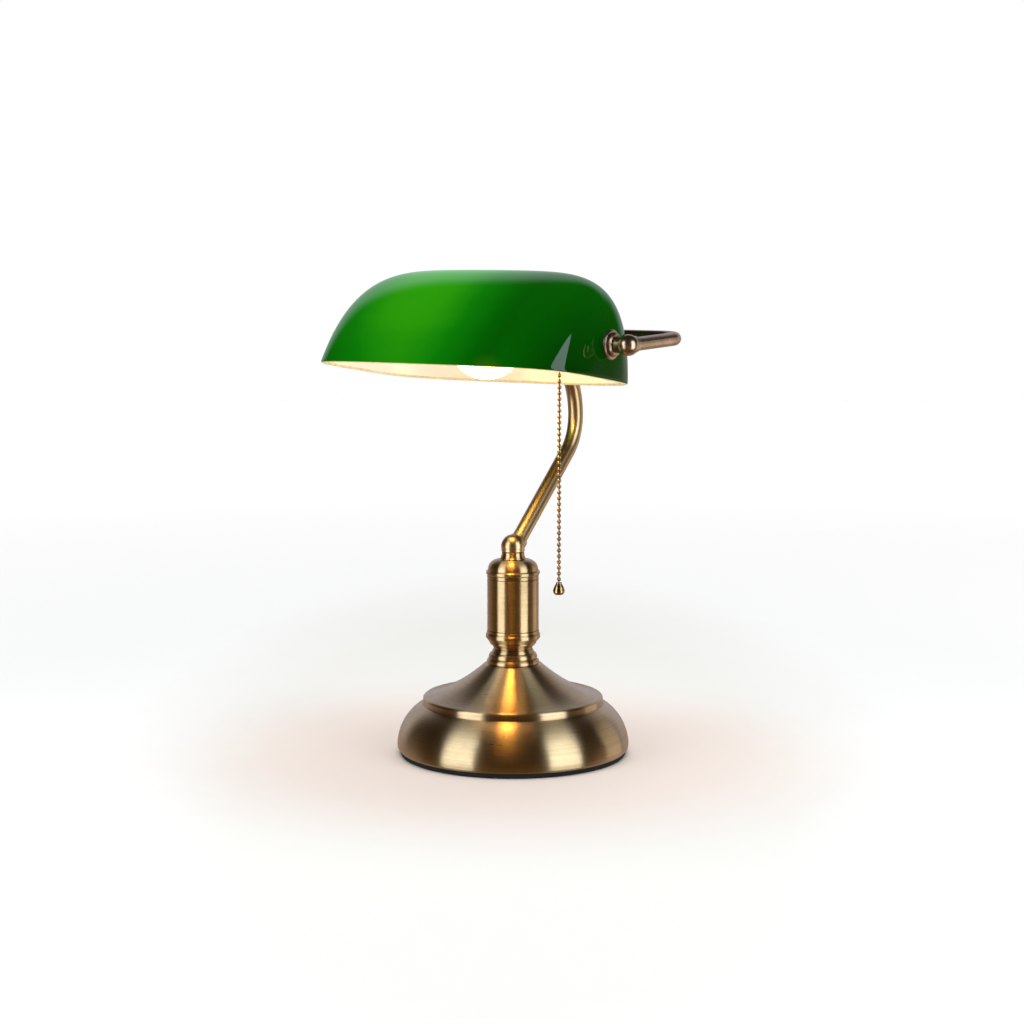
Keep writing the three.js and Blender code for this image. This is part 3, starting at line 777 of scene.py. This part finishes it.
def make_column():
    outlines = {
        "neck_foot": [
            (ROD_HOLE, 70.6), (19.6, 70.6), (20.3, 71.4, 0.5), (20.3, 73.2, 0.7), (19.4, 74.5, 0.4),
            (ROD_HOLE, 74.5),
        ],
        "neck_spool": [
            (ROD_HOLE, 74.8), (18.4, 74.8, 0.3), (19, 76, 0.8), (18.3, 78.4, 0.8), (16.6, 79.5, 0.7),
            (16, 81, 0.8), (15, 82.6, 0.9), (15.4, 84, 0.5), (16.2, 84.8, 0.2), (ROD_HOLE, 84.8),
        ],
        "column_cup": [
            (ROD_HOLE, 85.1), (16.6, 85.1, 0.3), (18.2, 87, 0.5), (18.3, 88, 0.3), (19.8, 89.6, 0.5),
            (21.2, 91.4, 1.0), (21.2, 93.6, 1.0), (20.4, 95, 0.5), (20.2, 97.1, 0.2), (17, 97.1),
            (15, 88.5), (ROD_HOLE, 88.5),
        ],
        "column_tube": ring(COLUMN_RADIUS - SHEET, COLUMN_RADIUS, COLUMN_BOTTOM, COLUMN_TOP, 0.3),
        "column_cap": [
            (18.6, 137.7), (20, 137.7, 0.3), (20, 140.4), (20.8, 141.2, 0.5), (20.8, 143.2, 0.7),
            (19.5, 144, 0.2), *bezier((19.5, 144.6), (19.2, 149), (16.6, 151.6), (12, 152.4), 14),
            (ROD_HOLE, 152.4), (ROD_HOLE, 150.4), (13.6, 149.6), (16.6, 147), (18.4, 143),
        ],
        "arm_collar": [
            (ROD_HOLE, 152.7), (10.3, 152.7, 0.3), (9.4, 154.2, 1.2), (8.8, 156), (8.8, 158, 0.5),
            (ROD_HOLE, 158),
        ],
    }
    for name, outline in outlines.items():
        show_turned(name, "brass", "lamplit_column_brass", outline, sides=144)


# ---- Arm ----

X_AXIS = Vector((1, 0, 0))
ARM_DIRECTION = Vector((0, math.sin(ARM_LEAN), math.cos(ARM_LEAN)))
HUB = YOKE @ Vector((0, YOKE_LENGTH, 0))


def on_arm_foot(distance):
    """A point of the arm's line, from where it crosses the column's axis."""
    return Vector((0, 0, ARM_FOOT_HEIGHT)) + ARM_DIRECTION * distance


def arm_route():
    """Length before the lower bend, angle of the upper bend, and length from it to the hub."""
    corner = ARM_REACH / math.sin(ARM_LEAN)
    bend_length = LOWER_BEND * math.tan(ARM_LEAN / 2)
    bend_top = on_arm_foot(corner).z + bend_length
    back = HUB.y - (ARM_REACH - UPPER_BEND)
    rise = HUB.z - bend_top
    distance = math.hypot(back, rise)
    angle = math.atan2(rise, back) - math.acos(UPPER_BEND / distance)
    return corner - bend_length, angle, math.sqrt(distance**2 - UPPER_BEND**2)


def make_arm_tube(foot_length, upper_angle, last_stretch):
    moves = [
        foot_length - ARM_START,
        (LOWER_BEND, ARM_LEAN),
        (UPPER_BEND, upper_angle),
        last_stretch - ARM_END,
    ]
    path = bent_path(on_arm_foot(ARM_START), ARM_DIRECTION, X_AXIS, moves)
    tube = swept("fine_arm_tube", path, X_AXIS, ARM_RADIUS, ARM_RADIUS - TUBE_WALL)
    show(tube, "arm_tube", "brass", "plain_brass")


def make_arm_elbow():
    """The ball on the column, with its skirt, its collar and the ways for the rod and the arm."""
    skirt_top = math.sqrt(BALL_RADIUS**2 - BALL_SKIRT_RADIUS**2)
    ball = turned(
        "fine_arm_elbow",
        [
            (0, BALL_SEAT), (BALL_SKIRT_RADIUS, BALL_SEAT, 0.6),
            (BALL_SKIRT_RADIUS, BALL_HEIGHT - skirt_top),
            *arc((0, BALL_HEIGHT), BALL_RADIUS, -11, 90, 30)[:-1], (0, BALL_HEIGHT + BALL_RADIUS),
        ],
    )
    boss = turned(
        "boss",
        [
            (0, 4), (BALL_SOCKET_RADIUS, 4), (BALL_SOCKET_RADIUS, BALL_SOCKET_REACH, 0.6),
            (0, BALL_SOCKET_REACH),
        ],
        aimed(on_arm_foot(0), ARM_DIRECTION),
    )
    rod_way = drill(ROD_HOLE, (0, 0, 150), (0, 0, 161))
    arm_way = drill(ARM_RADIUS + GAP, on_arm_foot(ARM_START - GAP), on_arm_foot(30))
    show(carved(ball, [boss], [rod_way, arm_way]), "arm_elbow", "brass", "plain_brass")


def make_yoke_hub(upper_angle):
    """The barrel round the yoke's bar, with a neck that takes the arm."""
    backwards = Vector((0, math.sin(upper_angle), -math.cos(upper_angle)))
    barrel = turned(
        "fine_yoke_hub",
        [
            (0, -11.5), (6.8, -11.5, 0.4), *bezier((7.6, -9.5), (8.1, -5), (8.1, 5), (7.6, 9.5), 16),
            (6.8, 11.5, 0.4), (0, 11.5),
        ],
        Matrix.Translation(HUB) @ ALONG_X,
    )
    neck = turned(
        "neck",
        [
            (0, 0), (HUB_NECK_RADIUS, 0), (HUB_NECK_RADIUS, HUB_NECK_REACH, 0.6),
            (0, HUB_NECK_REACH),
        ],
        aimed(HUB, backwards),
    )
    bar_way = drill(YOKE_RADIUS + GAP, HUB - X_AXIS * 20, HUB + X_AXIS * 20)
    arm_way = drill(ARM_RADIUS + GAP, HUB + backwards * (ARM_END - GAP), HUB + backwards * 22)
    show(carved(barrel, [neck], [bar_way, arm_way]), "yoke_hub", "brass", "plain_brass")


def make_arm():
    foot_length, upper_angle, last_stretch = arm_route()
    make_arm_tube(foot_length, upper_angle, last_stretch)
    make_arm_elbow()
    make_yoke_hub(upper_angle)


# ---- Yoke and pivots ----


def make_yoke_tube():
    leg = YOKE_LENGTH - YOKE_BEND - LEG_START
    bend = (YOKE_BEND, math.pi / 2)
    path = bent_path(
        (YOKE_HALF_WIDTH, LEG_START, 0), (0, 1, 0), Vector((0, 0, 1)),
        [leg, bend, 2 * (YOKE_HALF_WIDTH - YOKE_BEND), bend, leg],
    )
    turn = YOKE.to_3x3()
    placed = [(YOKE @ point, turn @ tangent) for point, tangent in path]
    upright = turn @ Vector((0, 0, 1))
    tube = swept("fine_yoke_tube", placed, upright, YOKE_RADIUS, YOKE_RADIUS - TUBE_WALL)
    show(tube, "yoke_tube", "dark_brass")


def make_yoke_elbow(side, hand):
    """A ball at the yoke's end, open to the leg behind it and to the pivot stem beside it."""
    neck = 5.9
    half_angle = math.degrees(math.asin(neck / YOKE_BALL_RADIUS))
    outline = [(0, -9.4), (neck, -9.4, 0.5)]
    outline += arc((0, 0), YOKE_BALL_RADIUS, half_angle - 90, 90, 36)[:-1]
    outline.append((0, YOKE_BALL_RADIUS))
    place = YOKE @ hand @ Matrix.Translation((YOKE_HALF_WIDTH, 0, 0))
    ball = turned(f"fine_yoke_elbow_{side}", outline, place @ ALONG_X, sides=72)
    boss = turned("boss", [(0, 2), (6.1, 2), (6.1, 9, 0.7), (0, 9)], place @ ALONG_Y, sides=72)
    leg_way = cutter(YOKE_RADIUS + GAP, LEG_START - GAP, 20, place @ ALONG_Y)
    stem_way = cutter(STEM_HOLE, -20, -3, place @ ALONG_X)
    show(carved(ball, [boss], [leg_way, stem_way]), f"yoke_elbow_{side}", "dark_brass")


def hex_nut(name, place):
    """A six-sided nut whose corners are turned down to a cone at both ends."""
    corner, thickness, chamfer = 8.0, 3.8, 0.75
    end_radius_loss, corner_loss = 0.15, 0.08
    cone_width = 1.3
    lead = 0.4  # how far the bore widens at its ends
    flat = corner * math.cos(math.pi / 6)
    sides = 120

    def outside(from_end, angle):
        across = flat / math.cos((angle % (math.pi / 3)) - math.pi / 6)
        cone = flat - end_radius_loss + from_end * cone_width / chamfer
        return min(across, cone, corner - corner_loss)

    def bore(radius, height):
        return around(place, height, sides, partial(plain, radius, height))

    heights = [0, 0.12, 0.3, 0.5, 0.7, 0.9, 1.1, thickness / 2]
    heights += [thickness - h for h in reversed(heights[:-1])]
    rings = [
        around(place, h, sides, partial(outside, min(h, thickness - h))) for h in heights
    ]
    rings.append(bore(STEM_HOLE + lead, thickness))
    rings.append(bore(STEM_HOLE, thickness - lead))
    rings.append(bore(STEM_HOLE, lead))
    rings.append(bore(STEM_HOLE + lead, 0))
    return skin(name, rings, True, crease=25)


def make_pivot_side(side, hand):
    """Everything between a yoke ball and the shade's end, with what clamps the glass."""
    make_yoke_elbow(side, hand)
    nut_seat = 98.1
    stem_end = 94.5 if side == "right" else 96.5
    yoke_axis = YOKE @ hand @ ALONG_X
    shade_axis = SHADE @ hand @ ALONG_X
    stem = ring(STEM_BORE, STEM_RADIUS, stem_end, STEM_TIP, 0.4)
    show_turned(f"pivot_stem_{side}", "steel", "steel", stem, yoke_axis, sides=48)
    flange = [
        (STEM_HOLE, 113.4), (10.4, 113.4, 0.3), (11, 114, 0.4), (11, 115.4, 0.5), (10.2, 116.2, 0.3),
        (8.6, 116.4, 0.25), (8.8, 118, 0.4), (7.6, 119.1, 0.5), (STEM_HOLE, 119.1),
    ]
    show_turned(f"outer_flange_{side}", "dark_brass", "dark_brass", flange, yoke_axis)
    washer = ring(STEM_HOLE, 9, 102.2, 103.3, 0.3)
    show_turned(f"inner_washer_{side}", "dark_brass", "dark_brass", washer, yoke_axis)
    nut = hex_nut(f"fine_lock_nut_{side}", yoke_axis @ Matrix.Translation((0, 0, nut_seat)))
    show(nut, f"lock_nut_{side}", "dark_brass")
    outer = ring(4.4, 9.4, 111.6, 113.1, 0.4)
    show_turned(f"outer_rubber_{side}", "rubber", "rubber", outer, shade_axis, sides=72)
    inner = ring(4.4, 8.4, 103.6, 105, 0.4)
    show_turned(f"inner_rubber_{side}", "rubber", "rubber", inner, shade_axis, sides=72)


# ---- Shade ----


# How the glass narrows towards its crown. A power of 2 is an ellipse, a higher one squarer.
END_TAPER = 0.035
SIDE_TAPER = 0.018
END_POWER = 4.83
SIDE_POWER = 2.1
RIM_POWER = 4.26
POWER_LOSS = 2.23


def rounding(share, power):
    return (1 - share**power) ** (1 / power)


def shade_point(share, angle, inset):
    """A point of the glass: share of its height, direction, and distance in from the outside."""
    share = min(share, 1.0)
    length = (SHADE_HALF_LENGTH - inset) * (1 - END_TAPER * share) * rounding(share, END_POWER)
    depth = (SHADE_HALF_DEPTH - inset) * (1 - SIDE_TAPER * share) * rounding(share, SIDE_POWER)
    squareness = RIM_POWER - POWER_LOSS * share
    c, s = math.cos(angle), math.sin(angle)
    reach = (abs(c) ** squareness + abs(s) ** squareness) ** (-1 / squareness)
    height = share * (SHADE_HEIGHT - inset)
    return Vector((length * c * reach, depth * s * reach + SHADE_LEAN * height, height))


def make_shade():
    """The cased glass: the outside from the crown down, round the rim, and up the inside."""
    columns = 220
    rows = 56
    rim_steps = 12
    green_rim_steps = 3  # how far the green reaches round the rim
    pivot_hole_radius = 5
    edge = GLASS / 2
    rings = []

    def add_ring(share, inset):
        points = [shade_point(share, 2 * math.pi * k / columns, inset) for k in range(columns)]
        rings.append(points[:1] if share == 1 else points)

    def shares(start):
        """Even steps of the glass's turn from the rim to the crown."""
        steps = [math.cos(math.pi / 2 * i / rows) for i in range(1, rows)]
        past_rim = start * 1.3
        return [s for s in (rounding(d, SIDE_POWER) for d in steps) if s > past_rim] + [1]

    outer_start = edge / SHADE_HEIGHT
    inner_start = edge / (SHADE_HEIGHT - GLASS)
    for share in reversed(shares(outer_start)):
        add_ring(share, 0)
    outer_rows = len(rings)
    for i in range(rim_steps + 1):
        turn = math.pi * i / rim_steps
        inset = edge - edge * math.cos(turn)
        height = edge - edge * math.sin(turn)
        add_ring(height / (SHADE_HEIGHT - inset), inset)
    rim_rows = len(rings)
    for share in shares(inner_start):
        add_ring(share, GLASS)
    shift = Vector((0, -SHADE_LEAN * PIVOT_ABOVE_RIM, -PIVOT_ABOVE_RIM))
    rings = [[SHADE @ (p + shift) for p in points] for points in rings]
    piece = skin("fine_shade_glass", rings, False)
    for material in (FINISHES["green_glass"], OPAL, RIM):
        piece.data.materials.append(material)
    green, opal, rim = 0, 1, 2
    green_rows = outer_rows + green_rim_steps
    ground_rows = rim_rows - 1 - green_rows
    opal_rows = len(rings) - rim_rows
    layers = [green] * green_rows + [rim] * ground_rows + [opal] * opal_rows
    numbers = [layer for layer in layers for _ in range(columns)]
    piece.data.polygons.foreach_set("material_index", numbers)
    pivot_hole = cutter(pivot_hole_radius, -130, 130, SHADE @ ALONG_X)
    show(carved(piece, removed=[pivot_hole]), "shade_glass", "green_glass")


# ---- Lamp holder and bulb ----

HOLDER = PIVOT @ ALONG_X
GUIDE_HOLE = 4.3
LINK_HOLE = 2.3


def helix(bore, start, end, pitch, depth):
    """A screw thread on the outside of a piece, fading in and out at its ends."""
    fading = 1.5

    def threaded(radius, height, angle):
        if radius < bore or not start < height < end:
            return radius
        fade = min(1.0, (height - start) / fading, (end - height) / fading)
        wave = 0.5 + 0.5 * math.cos(2 * math.pi * height / pitch - angle)
        return radius - depth * (1 - wave) * fade

    return threaded


def thread_rows(radius, start, count):
    """Outline points close enough together to carry a thread."""
    step = 0.3
    return [(radius, start + step * i) for i in range(count)]


def below_holder(depth):
    """A point under the holder's axis, where the chain hangs."""
    return (CHAIN_X, PIVOT_Y, PIVOT_Z - depth)


def make_lamp_holder():
    show_turned(
        "socket_cap", "brass", "plain_brass",
        [
            (STEM_HOLE, 97.6), (6.5, 97.6, 0.4), (9.6, 96.2, 2), (13.8, 92.6, 3), (17.7, 88.6, 2.2),
            (17.7, 83.4, 0.4), (16.8, 83.4), (16.8, 88), (13, 91.6), (9, 94.8), (STEM_HOLE, 95.4),
        ],
        HOLDER,
    )
    shell = turned(
        "fine_socket_shell",
        [
            (15.6, 42), (16.9, 42, 0.4), (16.9, 43.5, 0.4), (16.4, 44.2, 0.3), (16.4, 86.5, 0.2),
            (15.6, 86.5),
        ],
        HOLDER,
    )
    guide_way = drill(GUIDE_HOLE, below_holder(30), below_holder(10))
    show(carved(shell, removed=[guide_way]), "socket_shell", "brass", "plain_brass")
    liner = turned(
        "fine_socket_insulator",
        [(0, 66), (14.7, 66), (14.7, 43, 0.2), (15.3, 43, 0.2), (15.3, 83, 0.3), (0, 83)],
        HOLDER,
    )
    pocket = drill(GUIDE_HOLE, below_holder(30), below_holder(12.5))
    link_way = drill(LINK_HOLE, below_holder(20), below_holder(3))
    show(carved(liner, removed=[pocket, link_way]), "socket_insulator", "black_plastic")
    show_turned(
        "screw_shell", "nickel", "nickel",
        [*thread_rows(14.4, 45, 61), (13.6, 63), (13.6, 45)],
        HOLDER, surface=helix(14, 45, 63, 4.5, 0.4),
    )
    show_turned(
        "bulb_cap", "nickel", "nickel",
        [
            (0, 62), (5.4, 61.6), (11.9, 58), (11.9, 40.5), (12.6, 40.5, 0.2),
            *thread_rows(13.2, 42.5, 49), (9, 62.2, 1.5), (5.6, 63.2, 0.5), (0, 63.2),
        ],
        HOLDER, surface=helix(13, 42, 57.2, 3.6, 0.7),
    )


def make_bulb():
    outside = [
        (0, BULB_CENTRE - BULB_RADIUS),
        *arc((0, BULB_CENTRE), BULB_RADIUS, -90, 25, 44)[1:],
        *bezier((25.0, 21.3), (18.4, 31), (11.2, 33), (11.2, 42), 16)[1:],
        (11.2, 50),
    ]
    inside = [(10.2, 50), (10.2, 42), (20, 24), (24, BULB_CENTRE), (0, BULB_CENTRE - 27)]
    bulb = show_turned("bulb_glass", "bulb", "bulb", outside + inside, HOLDER)
    bulb.visible_diffuse = False


# ---- Pull chain ----


def bead(centre, neck):
    """Half outline of one bead from its lower hole to its upper one."""
    edge = math.degrees(math.acos(neck / BEAD_RADIUS))  # where the bead meets the link
    return arc((0, centre), BEAD_RADIUS, -edge, edge, 10)


def make_chain():
    show_turned(
        "chain_guide", "brass", "plain_brass",
        [
            (2.4, 301.5, 0.4), (4.6, 301.5, 0.4), (4.2, 303.4, 0.4), (4, 303.8), (5.2, 304, 0.2),
            (5.2, 305.2, 0.3), (4, 305.4), (4, 309.4), (2.4, 309.4),
        ],
        CHAIN, sides=64,
    )
    top_bead = LOWEST_BEAD + BEAD_COUNT * BEAD_PITCH
    pin = 0.6
    foot = CHAIN_HEAD + GAP
    head = 302.1
    show_turned(
        "chain_top_link", "chain_brass", "chain_brass",
        [(0, foot), (pin, foot), *bead(top_bead, pin), (pin, head), (0, head)],
        CHAIN, sides=32,
    )
    pin = 0.5
    foot = LOWEST_BEAD - BEAD_PITCH / 2 + GAP
    head = CHAIN_HEAD - 0.1
    outline = [(0, foot), (pin, foot)]
    for i in range(BEAD_COUNT):
        outline += bead(LOWEST_BEAD + i * BEAD_PITCH, pin)
    outline += [(pin, head), (0, head)]
    show_turned("pull_chain", "chain_brass", "chain_brass", outline, CHAIN, sides=24)
    show_turned(
        "chain_bell", "chain_brass", "chain_brass",
        [
            (0, 137.1), (2.7, 137.1, 0.6), (4.2, 138.4, 1.2), (4.4, 140.2, 1.6), (3.5, 143, 3),
            (2.3, 145.2, 1.2), (1.9, 146.4, 0.4), (0, 146.4),
        ],
        CHAIN, sides=64,
    )


# ---- Inner nodes that keep their CAD shape ----

KEPT = {
    "steel": ["base_plate", "rod_washer", "rod_nut", "centre_rod"],
    "iron": ["base_weight"],
    "chain_brass": ["centre_contact", "switch_link"],
}


def dress_kept_nodes():
    """Gives the inner nodes their finish, through the material slots of their objects."""
    for finish, names in KEPT.items():
        for name in names:
            frame["nodes"][name].material_slots[0].material = FINISHES[finish]


# ---- Studio ----

CAMERA_BEARING = math.radians(33.1)
CAMERA_DISTANCE = 1.633
CAMERA_HEIGHT = 0.389
CAMERA_PITCH = math.radians(6.98)
CAMERA_LENS = 74.85
CAMERA_SHIFT = -0.00097
SOFTBOX_DISTANCE = 1.2
SOFTBOXES = {  # offsets are angles from the camera's bearing, heights are in metres
    "left": {
        "offset": math.radians(-55), "half_angle": math.radians(16.5), "bottom": -0.42, "top": 1.2,
        "radiance": 2.95, "colour": (0.82, 0.91, 1.0), "off_shade": True,
    },
    "right": {
        "offset": math.radians(52), "half_angle": math.radians(16.5), "bottom": -0.42, "top": 1.2,
        "radiance": 2.95, "colour": (0.82, 0.91, 1.0), "off_shade": False,
    },
    "far_right": {
        "offset": math.radians(116), "half_angle": math.radians(14), "bottom": -0.3, "top": 0.65,
        "radiance": 0.5, "colour": (1.0, 0.92, 0.85), "off_shade": True,
    },
}
TABLE_FRONT = (0.14, 0.08, 0.03, 1)
TABLE_BACK = (0.4, 0.31, 0.26, 1)
TABLE_BEARING = CAMERA_BEARING + math.radians(172)
ROOM_FRONT = (0.03, 0.022, 0.016, 1)
ROOM_BACK = (0.47, 0.47, 0.54, 1)
# painted shade on the floor: a warm painted shadow under the lamp, a grey one round it, and a paler
# colour far off where less light falls
WARM_SHADOW_COLOUR = (0.71, 0.635, 0.585, 1)
SHADED_FLOOR_COLOUR = (0.67, 0.665, 0.64, 1)
MID_FLOOR_COLOUR = (0.73, 0.73, 0.725, 1)
FAR_FLOOR_COLOUR = (0.92, 0.92, 0.92, 1)
FLOOR_RADIUS = 4000
FLOOR_LIGHT = 3.5
FLOOR_LIGHT_ANGLE = math.radians(70)
WHITE = (1, 1, 1, 1)


def bearing(angle):
    """A level direction, turned round the lamp from its front."""
    return Vector((math.sin(angle), -math.cos(angle), 0))


def make_camera():
    camera = bpy.data.objects.new("camera", bpy.data.cameras.new("camera"))
    camera.data.lens = CAMERA_LENS
    camera.data.shift_x = CAMERA_SHIFT
    camera.location = bearing(CAMERA_BEARING) * CAMERA_DISTANCE
    camera.location.z = CAMERA_HEIGHT
    camera.rotation_euler = (math.pi / 2 - CAMERA_PITCH, 0, CAMERA_BEARING)
    bpy.context.scene.collection.objects.link(camera)
    bpy.context.scene.camera = camera


def make_softbox(name, plan):
    """An upright panel of even radiance that faces the lamp's axis."""
    place = bearing(CAMERA_BEARING + plan["offset"]) * SOFTBOX_DISTANCE
    place.z = (plan["bottom"] + plan["top"]) / 2
    light = bpy.data.lights.new(name + "_softbox", "AREA")
    light.shape = "RECTANGLE"
    light.size = 2 * SOFTBOX_DISTANCE * math.tan(plan["half_angle"])
    light.size_y = plan["top"] - plan["bottom"]
    light.color = plan["colour"]
    light.energy = math.pi * light.size * light.size_y * plan["radiance"]
    lamp = bpy.data.objects.new(light.name, light)
    lamp.location = place
    inwards = Vector((-place.x, -place.y, 0))
    lamp.rotation_euler = inwards.to_track_quat("-Z", "Y").to_euler()
    bpy.context.scene.collection.objects.link(lamp)
    if plan["off_shade"]:
        flag(lamp, bpy.data.objects["fine_shade_glass"])


def flag(lamp, piece):
    """Keeps a lamp's light off one piece, as a flag on a stand would."""
    flagged = bpy.data.collections.new(lamp.name + "_flag")
    flagged.objects.link(piece)
    lamp.light_linking.receiver_collection = flagged
    flagged.collection_objects[0].light_linking.link_state = "EXCLUDE"


def far_from_axis(material, place, depth_share):
    """Metres from the lamp's axis; one level direction counts only as its share."""
    turned_place = node(
        material,
        "ShaderNodeVectorRotate",
        {"Vector": place, "Angle": -CAMERA_BEARING},
        rotation_type="Z_AXIS",
    ).outputs["Vector"]
    shares = (1, depth_share, 1)
    squeezed = vector_maths(material, "MULTIPLY", turned_place, shares, result="Vector")
    return vector_maths(material, "LENGTH", squeezed)


def make_floor():
    """A pale floor with painted shade: a warm painted shadow under the lamp, a wider grey painted
    shadow round it, and paler far off, where the lamps light it less.
    """
    material, shader = new_material("pale_floor", {"Roughness": 0.9, "Specular IOR Level": 0.1})
    place = place_of(material)
    wobble = spread(material, noise(material, place, 30.0, 3.0), 0.3, 0.7, -0.008, 0.008)
    near = maths(material, "ADD", far_from_axis(material, place, 1.0), wobble)
    wide = maths(material, "ADD", far_from_axis(material, place, 0.35), wobble)
    # painted shadows: warm near the axis, grey further out and stretched along the camera's bearing;
    # paler far off for the weaker light there
    colour = mixed(material, spread(material, near, 0.16, 0.29), WARM_SHADOW_COLOUR, SHADED_FLOOR_COLOUR)
    colour = mixed(material, spread(material, wide, 0.2, 0.34), colour, MID_FLOOR_COLOUR)
    colour = mixed(material, spread(material, near, 0.6, 2.5), colour, FAR_FLOOR_COLOUR)
    drive(material, shader, "Base Color", colour)
    floor = turned("floor", [(0, -20), (FLOOR_RADIUS, -20), (FLOOR_RADIUS, 0), (0, 0)])
    floor.data.materials.append(material)
    floor.visible_glossy = False
    floor.visible_shadow = False


def make_world():
    """White behind the lamp; in reflections, a grey backdrop behind it and a dim room in front."""
    world = bpy.data.worlds.new("studio")
    bpy.context.scene.world = world
    world.use_nodes = True
    world.node_tree.nodes.clear()
    direction = node(world, "ShaderNodeTexCoord").outputs["Generated"]
    height = xyz(world, direction)["Z"]

    def fade(value, low, high):
        return node(
            world,
            "ShaderNodeMapRange",
            {"Value": value, "From Min": low, "From Max": high},
            interpolation_type="SMOOTHSTEP",
        ).outputs["Result"]

    def facing(angle):
        """How nearly a direction points along a bearing."""
        return vector_maths(world, "DOT_PRODUCT", direction, bearing(angle))

    towards_table = fade(facing(TABLE_BEARING), -0.1, 0.45)
    towards_backdrop = fade(facing(CAMERA_BEARING + math.pi), 0.6, 0.82)
    table = mixed(world, towards_table, TABLE_FRONT, TABLE_BACK)
    backdrop = mixed(world, towards_backdrop, ROOM_FRONT, ROOM_BACK)
    room = mixed(world, fade(height, -0.06, 0.02), table, backdrop)
    seen = node(world, "ShaderNodeBackground", {"Color": WHITE}).outputs[0]
    mirrored = node(world, "ShaderNodeBackground", {"Color": room}).outputs[0]
    by_camera = node(world, "ShaderNodeLightPath").outputs["Is Camera Ray"]
    choice = node(world, "ShaderNodeMixShader", {0: by_camera, 1: mirrored, 2: seen})
    node(world, "ShaderNodeOutputWorld", {"Surface": choice.outputs[0]})


def make_lights():
    for name, plan in SOFTBOXES.items():
        make_softbox(name, plan)
    light = bpy.data.lights.new("floor_light", "SUN")
    light.energy = FLOOR_LIGHT
    light.angle = FLOOR_LIGHT_ANGLE
    lamp = bpy.data.objects.new("floor_light", light)
    lamp.visible_glossy = False
    bpy.context.scene.collection.objects.link(lamp)


make_camera()
make_base()
make_column()
make_arm()
make_yoke_tube()
for side_name, handed in (("right", Matrix.Identity(4)), ("left", MIRROR)):
    make_pivot_side(side_name, handed)
make_shade()
make_lamp_holder()
make_bulb()
make_chain()
dress_kept_nodes()
make_floor()
make_world()
make_lights()

bpy.context.scene.view_settings.view_transform = "Standard"
